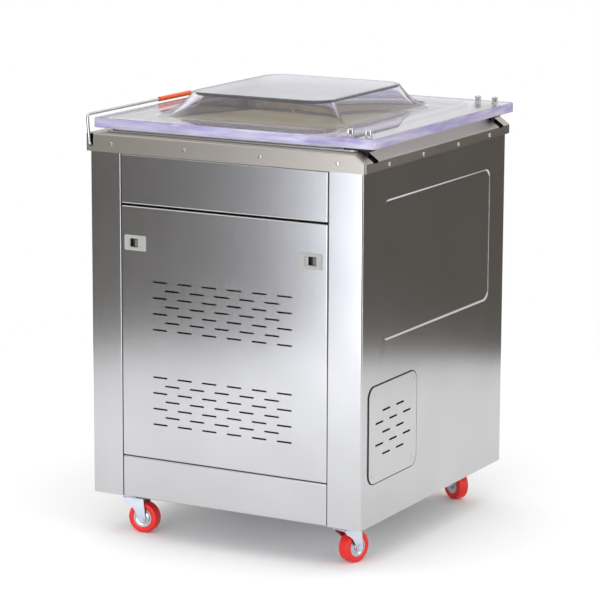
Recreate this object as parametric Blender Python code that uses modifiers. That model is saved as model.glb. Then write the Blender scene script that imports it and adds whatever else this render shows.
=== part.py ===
# Floor-standing vacuum packing machine: steel cabinet on swivel castors, clear domed lid, service door.
# Lengths are metres. Heights are measured from the cabinet's bottom edge, and the empty that carries
# every piece lifts them by the castors' height. X runs from the operator's side to the hinge side.

import math

import bmesh
import bpy
from mathutils import Vector

# ---- driving dimensions ----
castor_height = 0.087
cabinet_width = 0.612
cabinet_depth = 0.642
cabinet_height = 0.700
sheet = 0.0015
gap = 0.0003

left_seam = -0.236
right_seam = 0.232
seam = 0.001
fold = 0.020
door_bottom = 0.0860
door_top = 0.5970
apron_bottom = 0.6005

rim_width = 0.627
rim_depth = 0.654
rim_low = 0.701
rim_top = 0.737
rim_sheet = 0.0025
chamfer_start = 0.289
chamfer_foot = 0.720

deck_top = 0.741
deck_sheet = 0.0033
deck_half_x = 0.289
deck_half_y = 0.302
tub_floor = 0.641
tub_half_x = 0.230
tub_half_y = 0.247
tub_centre = -0.020

lid_low = 0.747
lid_thick = 0.020
lid_left = -0.3005
lid_right = 0.325
lid_half_y = 0.317
dome_rise = 0.045

hinge_x = 0.290
hinge_z = 0.705
arm_y = 0.283
shaft_radius = 0.008
pad_thick = 0.008

bar_line_y = 0.230
bar_ends = (-0.215, 0.175)
lift_rods = (-0.150, 0.110)

latches = {"left": -0.202, "right": 0.194}
latch_z = 0.523

control_z = 0.600
gauge_y = 0.105
stop_y = -0.110

bail_pivot_x = -0.301
bail_pivot_z = 0.715
bail_bar_x = -0.3059
bail_bar_z = 0.774
bail_leg_y = 0.331
wire_radius = 0.003

wheel_radius = 0.03175
wheel_width = 0.025
castor_x = 0.244
castor_y = 0.268
castor_trail = 0.025

half_w = cabinet_width / 2
half_d = cabinet_depth / 2
lid_top = lid_low + lid_thick
pad_top = lid_low - gap
pad_low = pad_top - pad_thick
sides_y = {"near": -1, "far": 1}
lid_screws = {f"lid_screw_{side}_{place}": (x, sign * arm_y)
              for side, sign in sides_y.items() for place, x in (("inner", 0.259), ("outer", 0.2975))}

# ---- finishes: linear colour, roughness, metallic, transmission ----
finishes = {
    "steel": ((0.52, 0.51, 0.49), 0.32, 1.0, 0.0),
    "bright_steel": ((0.70, 0.70, 0.69), 0.18, 1.0, 0.0),
    "zinc": ((0.58, 0.62, 0.66), 0.35, 1.0, 0.0),
    "aluminium": ((0.66, 0.66, 0.67), 0.40, 1.0, 0.0),
    "acrylic": ((0.86, 0.83, 0.96), 0.02, 0.0, 1.0),
    "silicone": ((0.78, 0.78, 0.76), 0.55, 0.0, 0.0),
    "orange": ((1.0, 0.16, 0.01), 0.45, 0.0, 0.0),
    "red": ((0.80, 0.015, 0.012), 0.35, 0.0, 0.0),
    "latch": ((0.55, 0.55, 0.52), 0.42, 0.0, 0.0),
    "black": ((0.02, 0.02, 0.02), 0.50, 0.0, 0.0),
    "khaki": ((0.55, 0.45, 0.20), 0.60, 0.0, 0.0),
    "enamel": ((0.10, 0.16, 0.22), 0.45, 0.0, 0.0),
    "iron": ((0.12, 0.11, 0.10), 0.60, 1.0, 0.0),
    "white": ((0.80, 0.80, 0.78), 0.40, 0.0, 0.0),
}

for leftover in list(bpy.data.objects):
    bpy.data.objects.remove(leftover, do_unlink=True)

machine = bpy.data.collections.new("vacuum_packing_machine")
cutters = bpy.data.collections.new("cutters")
bpy.context.scene.collection.children.link(machine)
bpy.context.scene.collection.children.link(cutters)

foot = bpy.data.objects.new("cabinet_foot", None)
foot.location.z = castor_height
machine.objects.link(foot)


# ---- helpers ----
def give_finish(piece, finish):
    colour, roughness, metallic, transmission = finishes[finish]
    material = bpy.data.materials.new(piece.name)
    material.use_nodes = True
    shader = material.node_tree.nodes["Principled BSDF"]
    shader.inputs["Base Color"].default_value = (*colour, 1.0)
    shader.inputs["Roughness"].default_value = roughness
    shader.inputs["Metallic"].default_value = metallic
    shader.inputs["Transmission Weight"].default_value = transmission
    piece.data.materials.append(material)


def add_piece(name, data, finish, parent=foot):
    """A piece with a finish is part of the machine; one without is a cutter or a part of a union."""
    piece = bpy.data.objects.new(name, data)
    piece.parent = parent
    if finish:
        machine.objects.link(piece)
        give_finish(piece, finish)
    else:
        cutters.objects.link(piece)
        piece.hide_render = True
        piece.display_type = "WIRE"
    return piece


def to_mesh(name, bm, smooth_angle=0.0):
    mesh = bpy.data.meshes.new(name)
    bm.to_mesh(mesh)
    bm.free()
    if smooth_angle:
        mesh.shade_smooth()
        mesh.set_sharp_from_angle(angle=smooth_angle)
    return mesh


def move_origin(piece, point):
    """Puts a piece's origin on its joint without moving the piece."""
    offset = Vector(point) - piece.location
    for vertex in piece.data.vertices:
        vertex.co -= offset
    piece.location = point


def box(name, low, high, finish=None, parent=foot):
    low, high = Vector(low), Vector(high)
    bm = bmesh.new()
    bmesh.ops.create_cube(bm, size=1.0)
    bmesh.ops.scale(bm, vec=high - low, verts=bm.verts)
    piece = add_piece(name, to_mesh(name, bm), finish, parent)
    piece.location = (low + high) / 2
    return piece


def rod(name, start, end, radius, finish=None, sides=16, parent=foot):
    start, end = Vector(start), Vector(end)
    bm = bmesh.new()
    bmesh.ops.create_cone(bm, cap_ends=True, segments=sides, radius1=radius, radius2=radius,
                          depth=(end - start).length)
    piece = add_piece(name, to_mesh(name, bm, 0.7), finish, parent)
    piece.location = (start + end) / 2
    piece.rotation_euler = (end - start).to_track_quat("Z", "Y").to_euler()
    return piece


def turned(name, profile, finish=None, sides=20, ring=False, parent=foot, half_step=False):
    """Turns (radius, height) points about the piece's own Z; they run down the outer side."""
    mesh = bpy.data.meshes.new(name)
    edges = [(i, i + 1) for i in range(len(profile) - 1)]
    if ring:
        edges.append((len(profile) - 1, 0))
    turn = math.pi / sides if half_step else 0.0
    mesh.from_pydata([(r * math.cos(turn), r * math.sin(turn), z) for r, z in profile], edges, [])
    piece = add_piece(name, mesh, finish, parent)
    screw = piece.modifiers.new("turn", "SCREW")
    screw.steps = sides
    screw.render_steps = sides
    screw.use_merge_vertices = True
    screw.merge_threshold = 0.00001
    weld = piece.modifiers.new("weld", "WELD")
    weld.merge_threshold = 0.00001
    return piece


def tube(name, points, radius, finish, parent=foot):
    curve = bpy.data.curves.new(name, "CURVE")
    curve.dimensions = "3D"
    curve.bevel_depth = radius
    curve.bevel_resolution = 2
    curve.use_fill_caps = True
    spline = curve.splines.new("POLY")
    spline.points.add(len(points) - 1)
    for point, place in zip(spline.points, points):
        point.co = (*place, 1.0)
    return add_piece(name, curve, finish, parent)


def slab(name, outline, thickness, finish=None, parent=foot):
    """A flat outline in the piece's own XY plane, as a closed plate centred on that plane."""
    curve = bpy.data.curves.new(name, "CURVE")
    curve.dimensions = "2D"
    curve.fill_mode = "BOTH"
    curve.extrude = thickness / 2
    spline = curve.splines.new("POLY")
    spline.use_cyclic_u = True
    spline.points.add(len(outline) - 1)
    for point, place in zip(spline.points, outline):
        point.co = (place[0], place[1], 0.0, 1.0)
    guide = bpy.data.objects.new(name + "_outline", curve)
    machine.objects.link(guide)
    evaluated = guide.evaluated_get(bpy.context.evaluated_depsgraph_get())
    mesh = bpy.data.meshes.new_from_object(evaluated)
    bm = bmesh.new()
    bm.from_mesh(mesh)
    bmesh.ops.remove_doubles(bm, verts=bm.verts, dist=0.00001)
    bm.to_mesh(mesh)
    bm.free()
    bpy.data.objects.remove(guide, do_unlink=True)
    mesh.materials.clear()
    return add_piece(name, mesh, finish, parent)


def boolean(piece, other, operation):
    modifier = piece.modifiers.new(other.name, "BOOLEAN")
    modifier.operation = operation
    modifier.solver = "EXACT"
    modifier.object = other


def cut(piece, *others):
    for other in others:
        boolean(piece, other, "DIFFERENCE")


def join(piece, *others):
    for other in others:
        boolean(piece, other, "UNION")


def thicken(piece, thickness):
    solidify = piece.modifiers.new("sheet", "SOLIDIFY")
    solidify.thickness = thickness
    solidify.offset = -1.0
    solidify.use_even_offset = True


def ring(low_x, high_x, half_y, radius, z, steps=4):
    """A level rounded rectangle, anticlockwise from above."""
    points = []
    for corner, (side_x, side_y) in enumerate(((1, 1), (-1, 1), (-1, -1), (1, -1))):
        centre_x = high_x - radius if side_x > 0 else low_x + radius
        centre_y = side_y * (half_y - radius)
        for step in range(steps + 1):
            angle = math.pi / 2 * (corner + step / steps)
            points.append((centre_x + radius * math.cos(angle), centre_y + radius * math.sin(angle), z))
    return points


def loft(name, rings, finish, first_cap=False, last_cap=False, closed=False):
    """Skins level rings in order; they run from the top's middle outward and down."""
    bm = bmesh.new()
    loops = [[bm.verts.new(point) for point in points] for points in rings]
    pairs = list(zip(loops, loops[1:]))
    if closed:
        pairs.append((loops[-1], loops[0]))
    for inner, outer in pairs:
        for i in range(len(inner)):
            j = (i + 1) % len(inner)
            bm.faces.new((inner[i], outer[i], outer[j], inner[j]))
    if first_cap:
        bm.faces.new(loops[0])
    if last_cap:
        bm.faces.new(list(reversed(loops[-1])))
    return add_piece(name, to_mesh(name, bm, 0.6), finish)


def folded_sheet(name, path, low, high, finish):
    """A vertical sheet folded along a path in plan, thickened to its inner side."""
    bm = bmesh.new()
    lower = [bm.verts.new((x, y, low)) for x, y in path]
    edges = [bm.edges.new(pair) for pair in zip(lower, lower[1:])]
    raised = bmesh.ops.extrude_edge_only(bm, edges=edges)
    bmesh.ops.translate(bm, vec=(0, 0, high - low),
                        verts=[item for item in raised["geom"] if isinstance(item, bmesh.types.BMVert)])
    bm.normal_update()
    widest = max(bm.faces, key=lambda face: face.calc_area())
    if widest.normal.dot(widest.calc_center_median()) < 0:
        bmesh.ops.reverse_faces(bm, faces=bm.faces)
    piece = add_piece(name, to_mesh(name, bm), finish)
    thicken(piece, sheet)
    return piece


def front_tray(name, low_x, high_x, low_z, high_z, finish, facing=-1):
    """A sheet panel in the cabinet's near (-1) or far (+1) face, its four edges folded inward."""
    bm = bmesh.new()
    bmesh.ops.create_cube(bm, size=1.0)
    back = [face for face in bm.faces if face.normal.y * facing < -0.5]
    bmesh.ops.delete(bm, geom=back, context="FACES_ONLY")
    bmesh.ops.scale(bm, vec=(high_x - low_x, fold, high_z - low_z), verts=bm.verts)
    piece = add_piece(name, to_mesh(name, bm), finish)
    piece.location = ((low_x + high_x) / 2, facing * (half_d - fold / 2), (low_z + high_z) / 2)
    thicken(piece, sheet)
    return piece


def rounded_path(corners, radius, steps=4):
    """A path through the corners, each inner one rounded by an arc that meets both its legs."""
    corners = [Vector(corner) for corner in corners]
    points = [corners[0]]
    for before, corner, after in zip(corners, corners[1:], corners[2:]):
        arrive = (before - corner).normalized()
        leave = (after - corner).normalized()
        half_angle = arrive.angle(leave) / 2
        centre = corner + (arrive + leave).normalized() * radius / math.sin(half_angle)
        first = (corner + arrive * radius / math.tan(half_angle) - centre).normalized()
        last = (corner + leave * radius / math.tan(half_angle) - centre).normalized()
        for step in range(steps + 1):
            points.append(centre + first.slerp(last, step / steps) * radius)
    points.append(corners[-1])
    return points


# ---- base frame: tray floor, perimeter rails and two rails under the pump ----
def make_base():
    rail = 0.040
    rail_height = 0.030
    floor = 0.003
    rail_line = 0.080
    outer_y = half_d - fold - sheet
    base = box("base_frame", (-half_w + sheet + gap, -outer_y, 0),
               (half_w - sheet - gap, outer_y, rail_height), "steel")
    middle = rail_line - rail / 2
    outer = rail_line + rail / 2
    pockets = ((-outer_y + rail, -outer), (-middle, middle), (outer, outer_y - rail))
    for number, (low_y, high_y) in enumerate(pockets):
        cut(base, box(f"base_pocket_{number}", (-half_w + rail, low_y, floor),
                      (half_w - rail, high_y, rail_height + 0.01)))


# ---- cabinet panels ----
def make_side_panels():
    recess = {"low_y": -0.238, "high_y": 0.251, "low_z": 0.359, "high_z": 0.638, "radius": 0.024}
    recess_depth = 0.0025
    hinge_side = folded_sheet("hinge_side_panel", [
        (right_seam, -half_d + fold), (right_seam, -half_d), (half_w, -half_d),
        (half_w, half_d), (right_seam, half_d), (right_seam, half_d - fold)], 0, cabinet_height, "steel")
    join(hinge_side, pressing("recess_back", recess, 0.003, half_w - recess_depth - sheet, half_w - 0.001))
    cut(hinge_side, pressing("recess_front", recess, 0, half_w - recess_depth, half_w + 0.005))
    cut(hinge_side, box("vent_opening", (half_w - 0.01, -0.275, 0.112), (half_w + 0.01, -0.102, 0.249)))

    operator_side = folded_sheet("operator_side_panel", [
        (left_seam, half_d - fold), (left_seam, half_d), (-half_w, half_d),
        (-half_w, -half_d), (left_seam, -half_d), (left_seam, -half_d + fold)], 0, cabinet_height, "steel")
    cut(operator_side,
        rod("gauge_hole", (-half_w - 0.01, gauge_y, control_z), (-half_w + 0.01, gauge_y, control_z), 0.027),
        rod("stop_hole", (-half_w - 0.01, stop_y, control_z), (-half_w + 0.01, stop_y, control_z), 0.009))


def pressing(name, shape, margin, low_x, high_x):
    """A block with the pressed panel's rounded outline, standing across the hinge side."""
    middle_y = (shape["low_y"] + shape["high_y"]) / 2
    middle_z = (shape["low_z"] + shape["high_z"]) / 2
    half_y = (shape["high_y"] - shape["low_y"]) / 2 + margin
    half_z = (shape["high_z"] - shape["low_z"]) / 2 + margin
    outline = ring(-half_y, half_y, half_z, shape["radius"] + margin, 0)
    block = slab(name, outline, high_x - low_x)
    block.location = ((low_x + high_x) / 2, middle_y, middle_z)
    block.rotation_euler = (math.pi / 2, 0, math.pi / 2)
    return block


def make_vent_plate():
    middle_y = -0.1885
    middle_z = 0.1805
    outline = ring(-0.1025, 0.1025, 0.0965, 0.022, 0, steps=3)
    plate = slab("vent_plate", outline, sheet, "steel")
    plate.location = (half_w + gap + sheet / 2, middle_y, middle_z)
    plate.rotation_euler = (math.pi / 2, 0, math.pi / 2)
    bm = bmesh.new()
    slot = (0.02, 0.033, 0.0040)
    pitch = 0.0593
    row_step = 0.0218
    for row in range(5):
        count = 2 if row % 2 == 0 else 3
        for column in range(count):
            slot_y = middle_y + (column - (count - 1) / 2) * pitch
            add_block(bm, (half_w, slot_y, middle_z + (2 - row) * row_step), slot)
    cut(plate, add_piece("vent_plate_slots", to_mesh("vent_plate_slots", bm), None))


def add_block(bm, middle, size):
    corners = bmesh.ops.create_cube(bm, size=1.0)["verts"]
    bmesh.ops.scale(bm, vec=size, verts=corners)
    bmesh.ops.translate(bm, vec=middle, verts=corners)


def make_front_panels():
    low_x = left_seam + seam
    high_x = right_seam - seam
    front_tray("front_apron", low_x, high_x, apron_bottom, cabinet_height, "steel")
    front_tray("kick_panel", low_x, high_x, 0, door_bottom - seam, "steel")
    front_tray("far_panel", low_x, high_x, 0, cabinet_height, "steel", facing=1)


def make_door():
    door = front_tray("service_door", left_seam + seam, right_seam - seam, door_bottom, door_top, "steel")
    bm = bmesh.new()
    slot = (0.033, 0.02, 0.0034)
    slots_middle = -0.0047
    pitch = 0.0566
    row_step = 0.0161
    for top_row in (0.4480, 0.2545):
        for row in range(7):
            count = 6 if row % 2 == 0 else 5
            for column in range(count):
                slot_x = slots_middle + (column - (count - 1) / 2) * pitch
                add_block(bm, (slot_x, -half_d, top_row - row * row_step), slot)
    cut(door, add_piece("door_slots", to_mesh("door_slots", bm), None))
    for side, middle_x in latches.items():
        cut(door, box(f"latch_hole_{side}", (middle_x - 0.0215, -half_d - 0.01, latch_z - 0.0125),
                      (middle_x + 0.0215, -half_d + 0.01, latch_z + 0.0125)))


# ---- flush latches: bezel with a window, and the thumb slide in it ----
def make_latches():
    flange = 0.0012
    depth = 0.014
    front = -half_d - gap
    window_half = 0.0130
    window_half_z = 0.0100
    slide_half = 0.0095
    rest_offset = window_half - gap - slide_half
    for side, middle_x in latches.items():
        outward = -1 if side == "left" else 1
        slide_x = middle_x + outward * rest_offset
        bezel = box(f"latch_bezel_{side}", (middle_x - 0.025, front - flange, latch_z - 0.0155),
                    (middle_x + 0.025, front, latch_z + 0.0155), "latch")
        body = box(f"latch_body_{side}", (middle_x - 0.0212, front - flange / 2, latch_z - 0.0122),
                   (middle_x + 0.0212, front + depth, latch_z + 0.0122))
        window = box(f"latch_window_{side}", (middle_x - window_half, front - 0.01, latch_z - window_half_z),
                     (middle_x + window_half, front + depth + 0.01, latch_z + window_half_z))
        join(bezel, body)
        cut(bezel, window)
        reach = window_half_z - gap
        slide = box(f"latch_slide_{side}", (slide_x - slide_half, front - 0.0008, latch_z - reach),
                    (slide_x + slide_half, front + depth, latch_z + reach), "latch")
        cut(slide, box(f"latch_thumb_hollow_{side}", (slide_x - 0.0070, front - 0.01, latch_z - 0.0080),
                       (slide_x + 0.0070, front + 0.009, latch_z + 0.0080)))


# ---- top rim: folded ring with a chamfer on the hinge side ----
def make_rim():
    half_x = rim_width / 2
    half_y = rim_depth / 2
    lip = 0.009
    bend = 0.006
    around_tub = 0.006
    rim = loft("top_rim", [
        ring(tub_centre - tub_half_x - around_tub, tub_centre + tub_half_x + around_tub,
             tub_half_y + around_tub, 0.050, rim_top),
        ring(-half_x, chamfer_start, half_y, bend, rim_top),
        ring(-half_x, half_x, half_y, bend, chamfer_foot),
        ring(-half_x, half_x, half_y, bend, rim_low),
        ring(-half_x + lip, half_x - lip, half_y - lip, bend / 2, rim_low)], "steel")
    thicken(rim, rim_sheet)
    lugs = bmesh.new()
    openings = bmesh.new()
    for sign in sides_y.values():
        add_block(lugs, (0.111, sign * arm_y, 0.6955), (0.014, 0.008, 0.081))
        add_block(openings, (0.3045, sign * arm_y, 0.732), (0.051, 0.024, 0.030))
        add_block(openings, (-0.3008, sign * 0.3285, 0.7303), (0.0096, 0.0143, 0.0371))
    join(rim, add_piece("spring_lugs", to_mesh("spring_lugs", lugs), None))
    cut(rim, add_piece("rim_openings", to_mesh("rim_openings", openings), None))


# ---- chamber: pan with its flat deck, gasket, board and sealing bars ----
def make_chamber():
    low_x = tub_centre - tub_half_x
    high_x = tub_centre + tub_half_x
    fillet = 0.010
    corner = 0.045
    pan = loft("chamber_pan", [
        ring(low_x + fillet, high_x - fillet, tub_half_y - fillet, corner - fillet, tub_floor),
        ring(low_x + 0.003, high_x - 0.003, tub_half_y - 0.003, corner - 0.003, tub_floor + 0.003),
        ring(low_x, high_x, tub_half_y, corner, tub_floor + fillet),
        ring(low_x, high_x, tub_half_y, corner, deck_top),
        ring(-deck_half_x, deck_half_x, deck_half_y, 0.022, deck_top)], "bright_steel", first_cap=True)
    thicken(pan, deck_sheet)
    for side, sign in sides_y.items():
        low_y, high_y = sorted((sign * (arm_y - 0.014), sign * (arm_y + 0.014)))
        cut(pan, box(f"pad_notch_{side}", (0.247, low_y, 0.70), (0.300, high_y, 0.76)))
        for number, x in enumerate(lift_rods):
            cut(pan, rod(f"lift_hole_{side}_{number}", (x, sign * bar_line_y, 0.62),
                         (x, sign * bar_line_y, 0.66), 0.0054, sides=8))

    seal_low = deck_top + gap
    seal_high = lid_low - gap
    width = 0.014
    loft("lid_gasket", [
        ring(-0.284 + width, 0.243 - width, 0.297 - width, 0.020, seal_high),
        ring(-0.284, 0.243, 0.297, 0.020 + width, seal_high),
        ring(-0.284, 0.243, 0.297, 0.020 + width, seal_low),
        ring(-0.284 + width, 0.243 - width, 0.297 - width, 0.020, seal_low)], "silicone", closed=True)

    box("filler_board", (low_x + 0.015, -0.205, tub_floor + gap), (high_x - 0.015, 0.205, 0.686), "khaki")


def make_seal_bars():
    for side, sign in sides_y.items():
        line_y = sign * bar_line_y
        bar = box(f"seal_bar_{side}", (bar_ends[0], line_y - 0.007, 0.701),
                  (bar_ends[1], line_y + 0.007, 0.727), "khaki")
        for number, x in enumerate(lift_rods):
            join(bar, rod(f"lift_rod_{side}_{number}", (x, line_y, 0.615), (x, line_y, 0.705), 0.005,
                          sides=8))
        box(f"counter_bar_{side}", (bar_ends[0], line_y - 0.006, 0.735),
            (bar_ends[1], line_y + 0.006, lid_low - gap), "silicone")


# ---- lid: clear plate with a draped dome ----
def make_lid():
    steps = 5
    rings = []
    for step in range(steps + 1):
        s = step / steps
        rings.append(ring(-0.170 - 0.070 * s, 0.145 + 0.055 * s, 0.180 + 0.070 * s, 0.025 + 0.065 * s,
                          lid_top + dome_rise * (1 - s) ** 2.2))
    rings.append(ring(lid_left, lid_right, lid_half_y, 0.005, lid_top))
    rings.append(ring(lid_left, lid_right, lid_half_y, 0.005, lid_low))
    for step in range(steps + 1):
        s = 1 - step / steps
        rings.append(ring(-0.162 - 0.065 * s, 0.137 + 0.050 * s, 0.173 + 0.062 * s, 0.022 + 0.050 * s,
                          lid_low + (dome_rise + 0.010) * (1 - s) ** 1.6))
    lid = loft("lid_dome", rings, "acrylic", first_cap=True, last_cap=True)
    for name, (x, y) in lid_screws.items():
        cut(lid, rod(f"{name}_hole", (x, y, lid_low - 0.01), (x, y, lid_top + 0.01), 0.0034, sides=8))
    move_origin(lid, (hinge_x, 0, hinge_z))


def make_lid_screws():
    for name, (x, y) in lid_screws.items():
        washer = lid_top + gap
        screw = turned(name, [
            (0, washer + 0.0125), (0.0052, washer + 0.0125), (0.0065, washer + 0.0112),
            (0.0065, washer + 0.0018), (0.0075, washer + 0.0018), (0.0075, washer),
            (0.0030, washer), (0.0030, pad_low + 0.002), (0, pad_low + 0.002)], "bright_steel", sides=12)
        screw.location = (x, y, 0)


def make_hinge():
    for side, sign in sides_y.items():
        y = sign * arm_y
        half_web = 0.006
        arm = box(f"hinge_arm_{side}", (0.249, y - 0.0115, pad_low), (0.306, y + 0.0115, pad_top), "black")
        join(arm, box(f"arm_web_{side}", (hinge_x - 0.005, y - half_web, 0.660),
                      (hinge_x + 0.005, y + half_web, pad_low + 0.002)),
             rod(f"arm_boss_{side}", (hinge_x, y - half_web - 0.001, hinge_z),
                 (hinge_x, y + half_web + 0.001, hinge_z), 0.013))
        cut(arm, rod(f"arm_bore_{side}", (hinge_x, y - 0.02, hinge_z), (hinge_x, y + 0.02, hinge_z),
                     shaft_radius + gap))
        for place in ("inner", "outer"):
            x, screw_y = lid_screws[f"lid_screw_{side}_{place}"]
            cut(arm, rod(f"pad_thread_{side}_{place}", (x, screw_y, pad_low - 0.01),
                         (x, screw_y, pad_top + 0.01), 0.0034, sides=8))
        move_origin(arm, (hinge_x, 0, hinge_z))

        low_y, high_y = sorted((sign * 0.243, sign * 0.267))
        block = box(f"hinge_bearing_{side}", (0.272, low_y, hinge_z - 0.017),
                    (half_w - sheet - gap, high_y, hinge_z + 0.017), "iron")
        cut(block, rod(f"bearing_bore_{side}", (hinge_x, low_y - 0.01, hinge_z),
                       (hinge_x, high_y + 0.01, hinge_z), shaft_radius + gap))
        spring_z = 0.666
        rod(f"lid_spring_{side}", (0.118 + gap, y, spring_z), (hinge_x - 0.005 - gap, y, spring_z), 0.009,
            "zinc", sides=12)
    rod("hinge_shaft", (hinge_x, -0.2935, hinge_z), (hinge_x, 0.2935, hinge_z), shaft_radius,
        "bright_steel")


# ---- bail: bent wire on two pivots, with a grip ----
def make_bail():
    stub = 0.3205
    corners = [(bail_pivot_x, -stub, bail_pivot_z), (bail_pivot_x, -bail_leg_y, bail_pivot_z),
               (bail_bar_x, -bail_leg_y, bail_bar_z), (bail_bar_x, bail_leg_y, bail_bar_z),
               (bail_pivot_x, bail_leg_y, bail_pivot_z), (bail_pivot_x, stub, bail_pivot_z)]
    pivot = Vector((bail_pivot_x, 0, bail_pivot_z))
    path = [point - pivot for point in rounded_path(corners, 0.006)]
    wire = tube("bail_wire", path, wire_radius, "bright_steel")
    wire.location = pivot
    bore = wire_radius + gap
    grip = turned("bail_grip", [(bore, 0.0625), (0.0050, 0.0625), (0.0050, -0.0625), (bore, -0.0625)],
                  "orange", sides=12, ring=True)
    grip.location = (bail_bar_x, 0.0025, bail_bar_z)
    grip.rotation_euler = (math.pi / 2, 0, 0)


# ---- operator's controls ----
def make_controls():
    face = -half_w - gap
    plate_thick = 0.0027
    plate = box("control_plate", (face - plate_thick, -0.160, control_z - 0.048),
                (face, 0.160, control_z + 0.048), "black")
    cut(plate,
        rod("plate_gauge_hole", (face - 0.02, gauge_y, control_z), (face + 0.02, gauge_y, control_z), 0.027),
        rod("plate_stop_hole", (face - 0.02, stop_y, control_z), (face + 0.02, stop_y, control_z), 0.009))

    dial = 0.0045
    gauge = turned("vacuum_gauge", [
        (0, dial), (0.0290, dial), (0.0290, 0.0120), (0.0320, 0.0120), (0.0320, 0), (0.0265, 0),
        (0.0265, -0.026), (0, -0.026)], "white")
    gauge.location = (face - plate_thick - gap, gauge_y, control_z)
    gauge.rotation_euler = (0, -math.pi / 2, 0)

    needle_x = gauge.location.x - dial - 0.002
    needle = box("gauge_needle", (needle_x - 0.0005, gauge_y - 0.001, control_z - 0.006),
                 (needle_x + 0.0005, gauge_y + 0.001, control_z + 0.022), "black")
    join(needle, rod("needle_boss", (needle_x - 0.001, gauge_y, control_z),
                     (needle_x + 0.001, gauge_y, control_z), 0.003, sides=10))
    move_origin(needle, (needle_x, gauge_y, control_z))
    needle.rotation_euler.x = math.radians(135)

    stop = turned("stop_button", [
        (0, 0.0160), (0.0140, 0.0160), (0.0180, 0.0130), (0.0180, 0.0080), (0.0150, 0.0062),
        (0.0083, 0.0062), (0.0083, -0.020), (0, -0.020)], "red", sides=16)
    stop.location = (face - plate_thick, stop_y, control_z)
    stop.rotation_euler = (0, -math.pi / 2, 0)

    inlet = turned("mains_inlet", [
        (0.0045, 0.011), (0.0080, 0.011), (0.0105, 0.008), (0.0105, 0), (0.0045, 0)], "black", sides=12,
        ring=True)
    inlet.location = (-0.180, half_d + gap, 0.060)
    inlet.rotation_euler = (-math.pi / 2, 0, 0)


# ---- inside the cabinet: pump set, valve, hose and transformer ----
def make_inside():
    frame_top = 0.030
    frame_floor = 0.003
    deck = frame_top + gap
    motor_z = 0.112
    feet_top = 0.060
    motor = turned("pump_motor", [
        (0, 0.205), (0.050, 0.205), (0.070, 0.190), (0.070, 0.010), (0.056, 0), (0, 0)], "enamel")
    motor.location = (-0.200, 0, motor_z)
    motor.rotation_euler = (0, math.pi / 2, 0)
    feet = box("motor_feet", (-0.090, -0.095, -0.045), (0, 0.095, 0.045))
    feet.location = (-0.105, 0, (deck + feet_top) / 2)
    feet.scale = (1, 1, (feet_top - deck) / 0.090)
    join(motor, feet)

    pump = box("vacuum_pump", (0.006, -0.090, deck), (0.180, 0.090, 0.190), "enamel")
    join(pump, rod("pump_exhaust_tower", (0.130, 0, 0.180), (0.130, 0, 0.250), 0.040, sides=20),
         rod("pump_inlet", (0.050, 0, 0.180), (0.050, 0, 0.215), 0.018))

    pan_bottom = tub_floor - deck_sheet - gap
    valve_low = pan_bottom - 0.070
    valve = box("solenoid_valve", (-0.025, 0.075, valve_low), (0.025, 0.125, pan_bottom), "white")
    coil_z = pan_bottom - 0.030
    join(valve, rod("valve_coil", (0.020, 0.100, coil_z), (0.060, 0.100, coil_z), 0.018))

    clear = 0.0015
    start = Vector((0.050, 0, 0.215 + clear))
    end = Vector((0, 0.100, valve_low - clear))
    bend = 0.16
    hose = []
    steps = 16
    for step in range(steps + 1):
        s = step / steps
        lower = start + Vector((0, 0, bend * s * 3))
        upper = end - Vector((0, 0, bend * (1 - s) * 3))
        hose.append(lower.lerp(upper, s * s * (3 - 2 * s)))
    tube("suction_hose", hose, 0.012, "black")

    core = box("transformer", (-0.240, 0.125, frame_floor + gap), (-0.120, 0.235, 0.100), "iron")
    join(core, box("transformer_coil", (-0.210, 0.115, 0.020), (-0.150, 0.245, 0.083)))


# ---- castors: plate, fork with its axle bolt, hub and tyre ----
def make_castors():
    headings = {"near_operator": (-1, -1, 0.105), "near_hinge": (1, -1, 1.269),
                "far_hinge": (1, 1, 2.600), "far_operator": (-1, 1, -1.050)}
    for name, (side_x, side_y, heading) in headings.items():
        swivel = bpy.data.objects.new(f"castor_swivel_{name}", None)
        machine.objects.link(swivel)
        swivel.parent = foot
        swivel.location = (side_x * castor_x, side_y * castor_y, 0)
        make_castor(name, swivel, heading)


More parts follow.
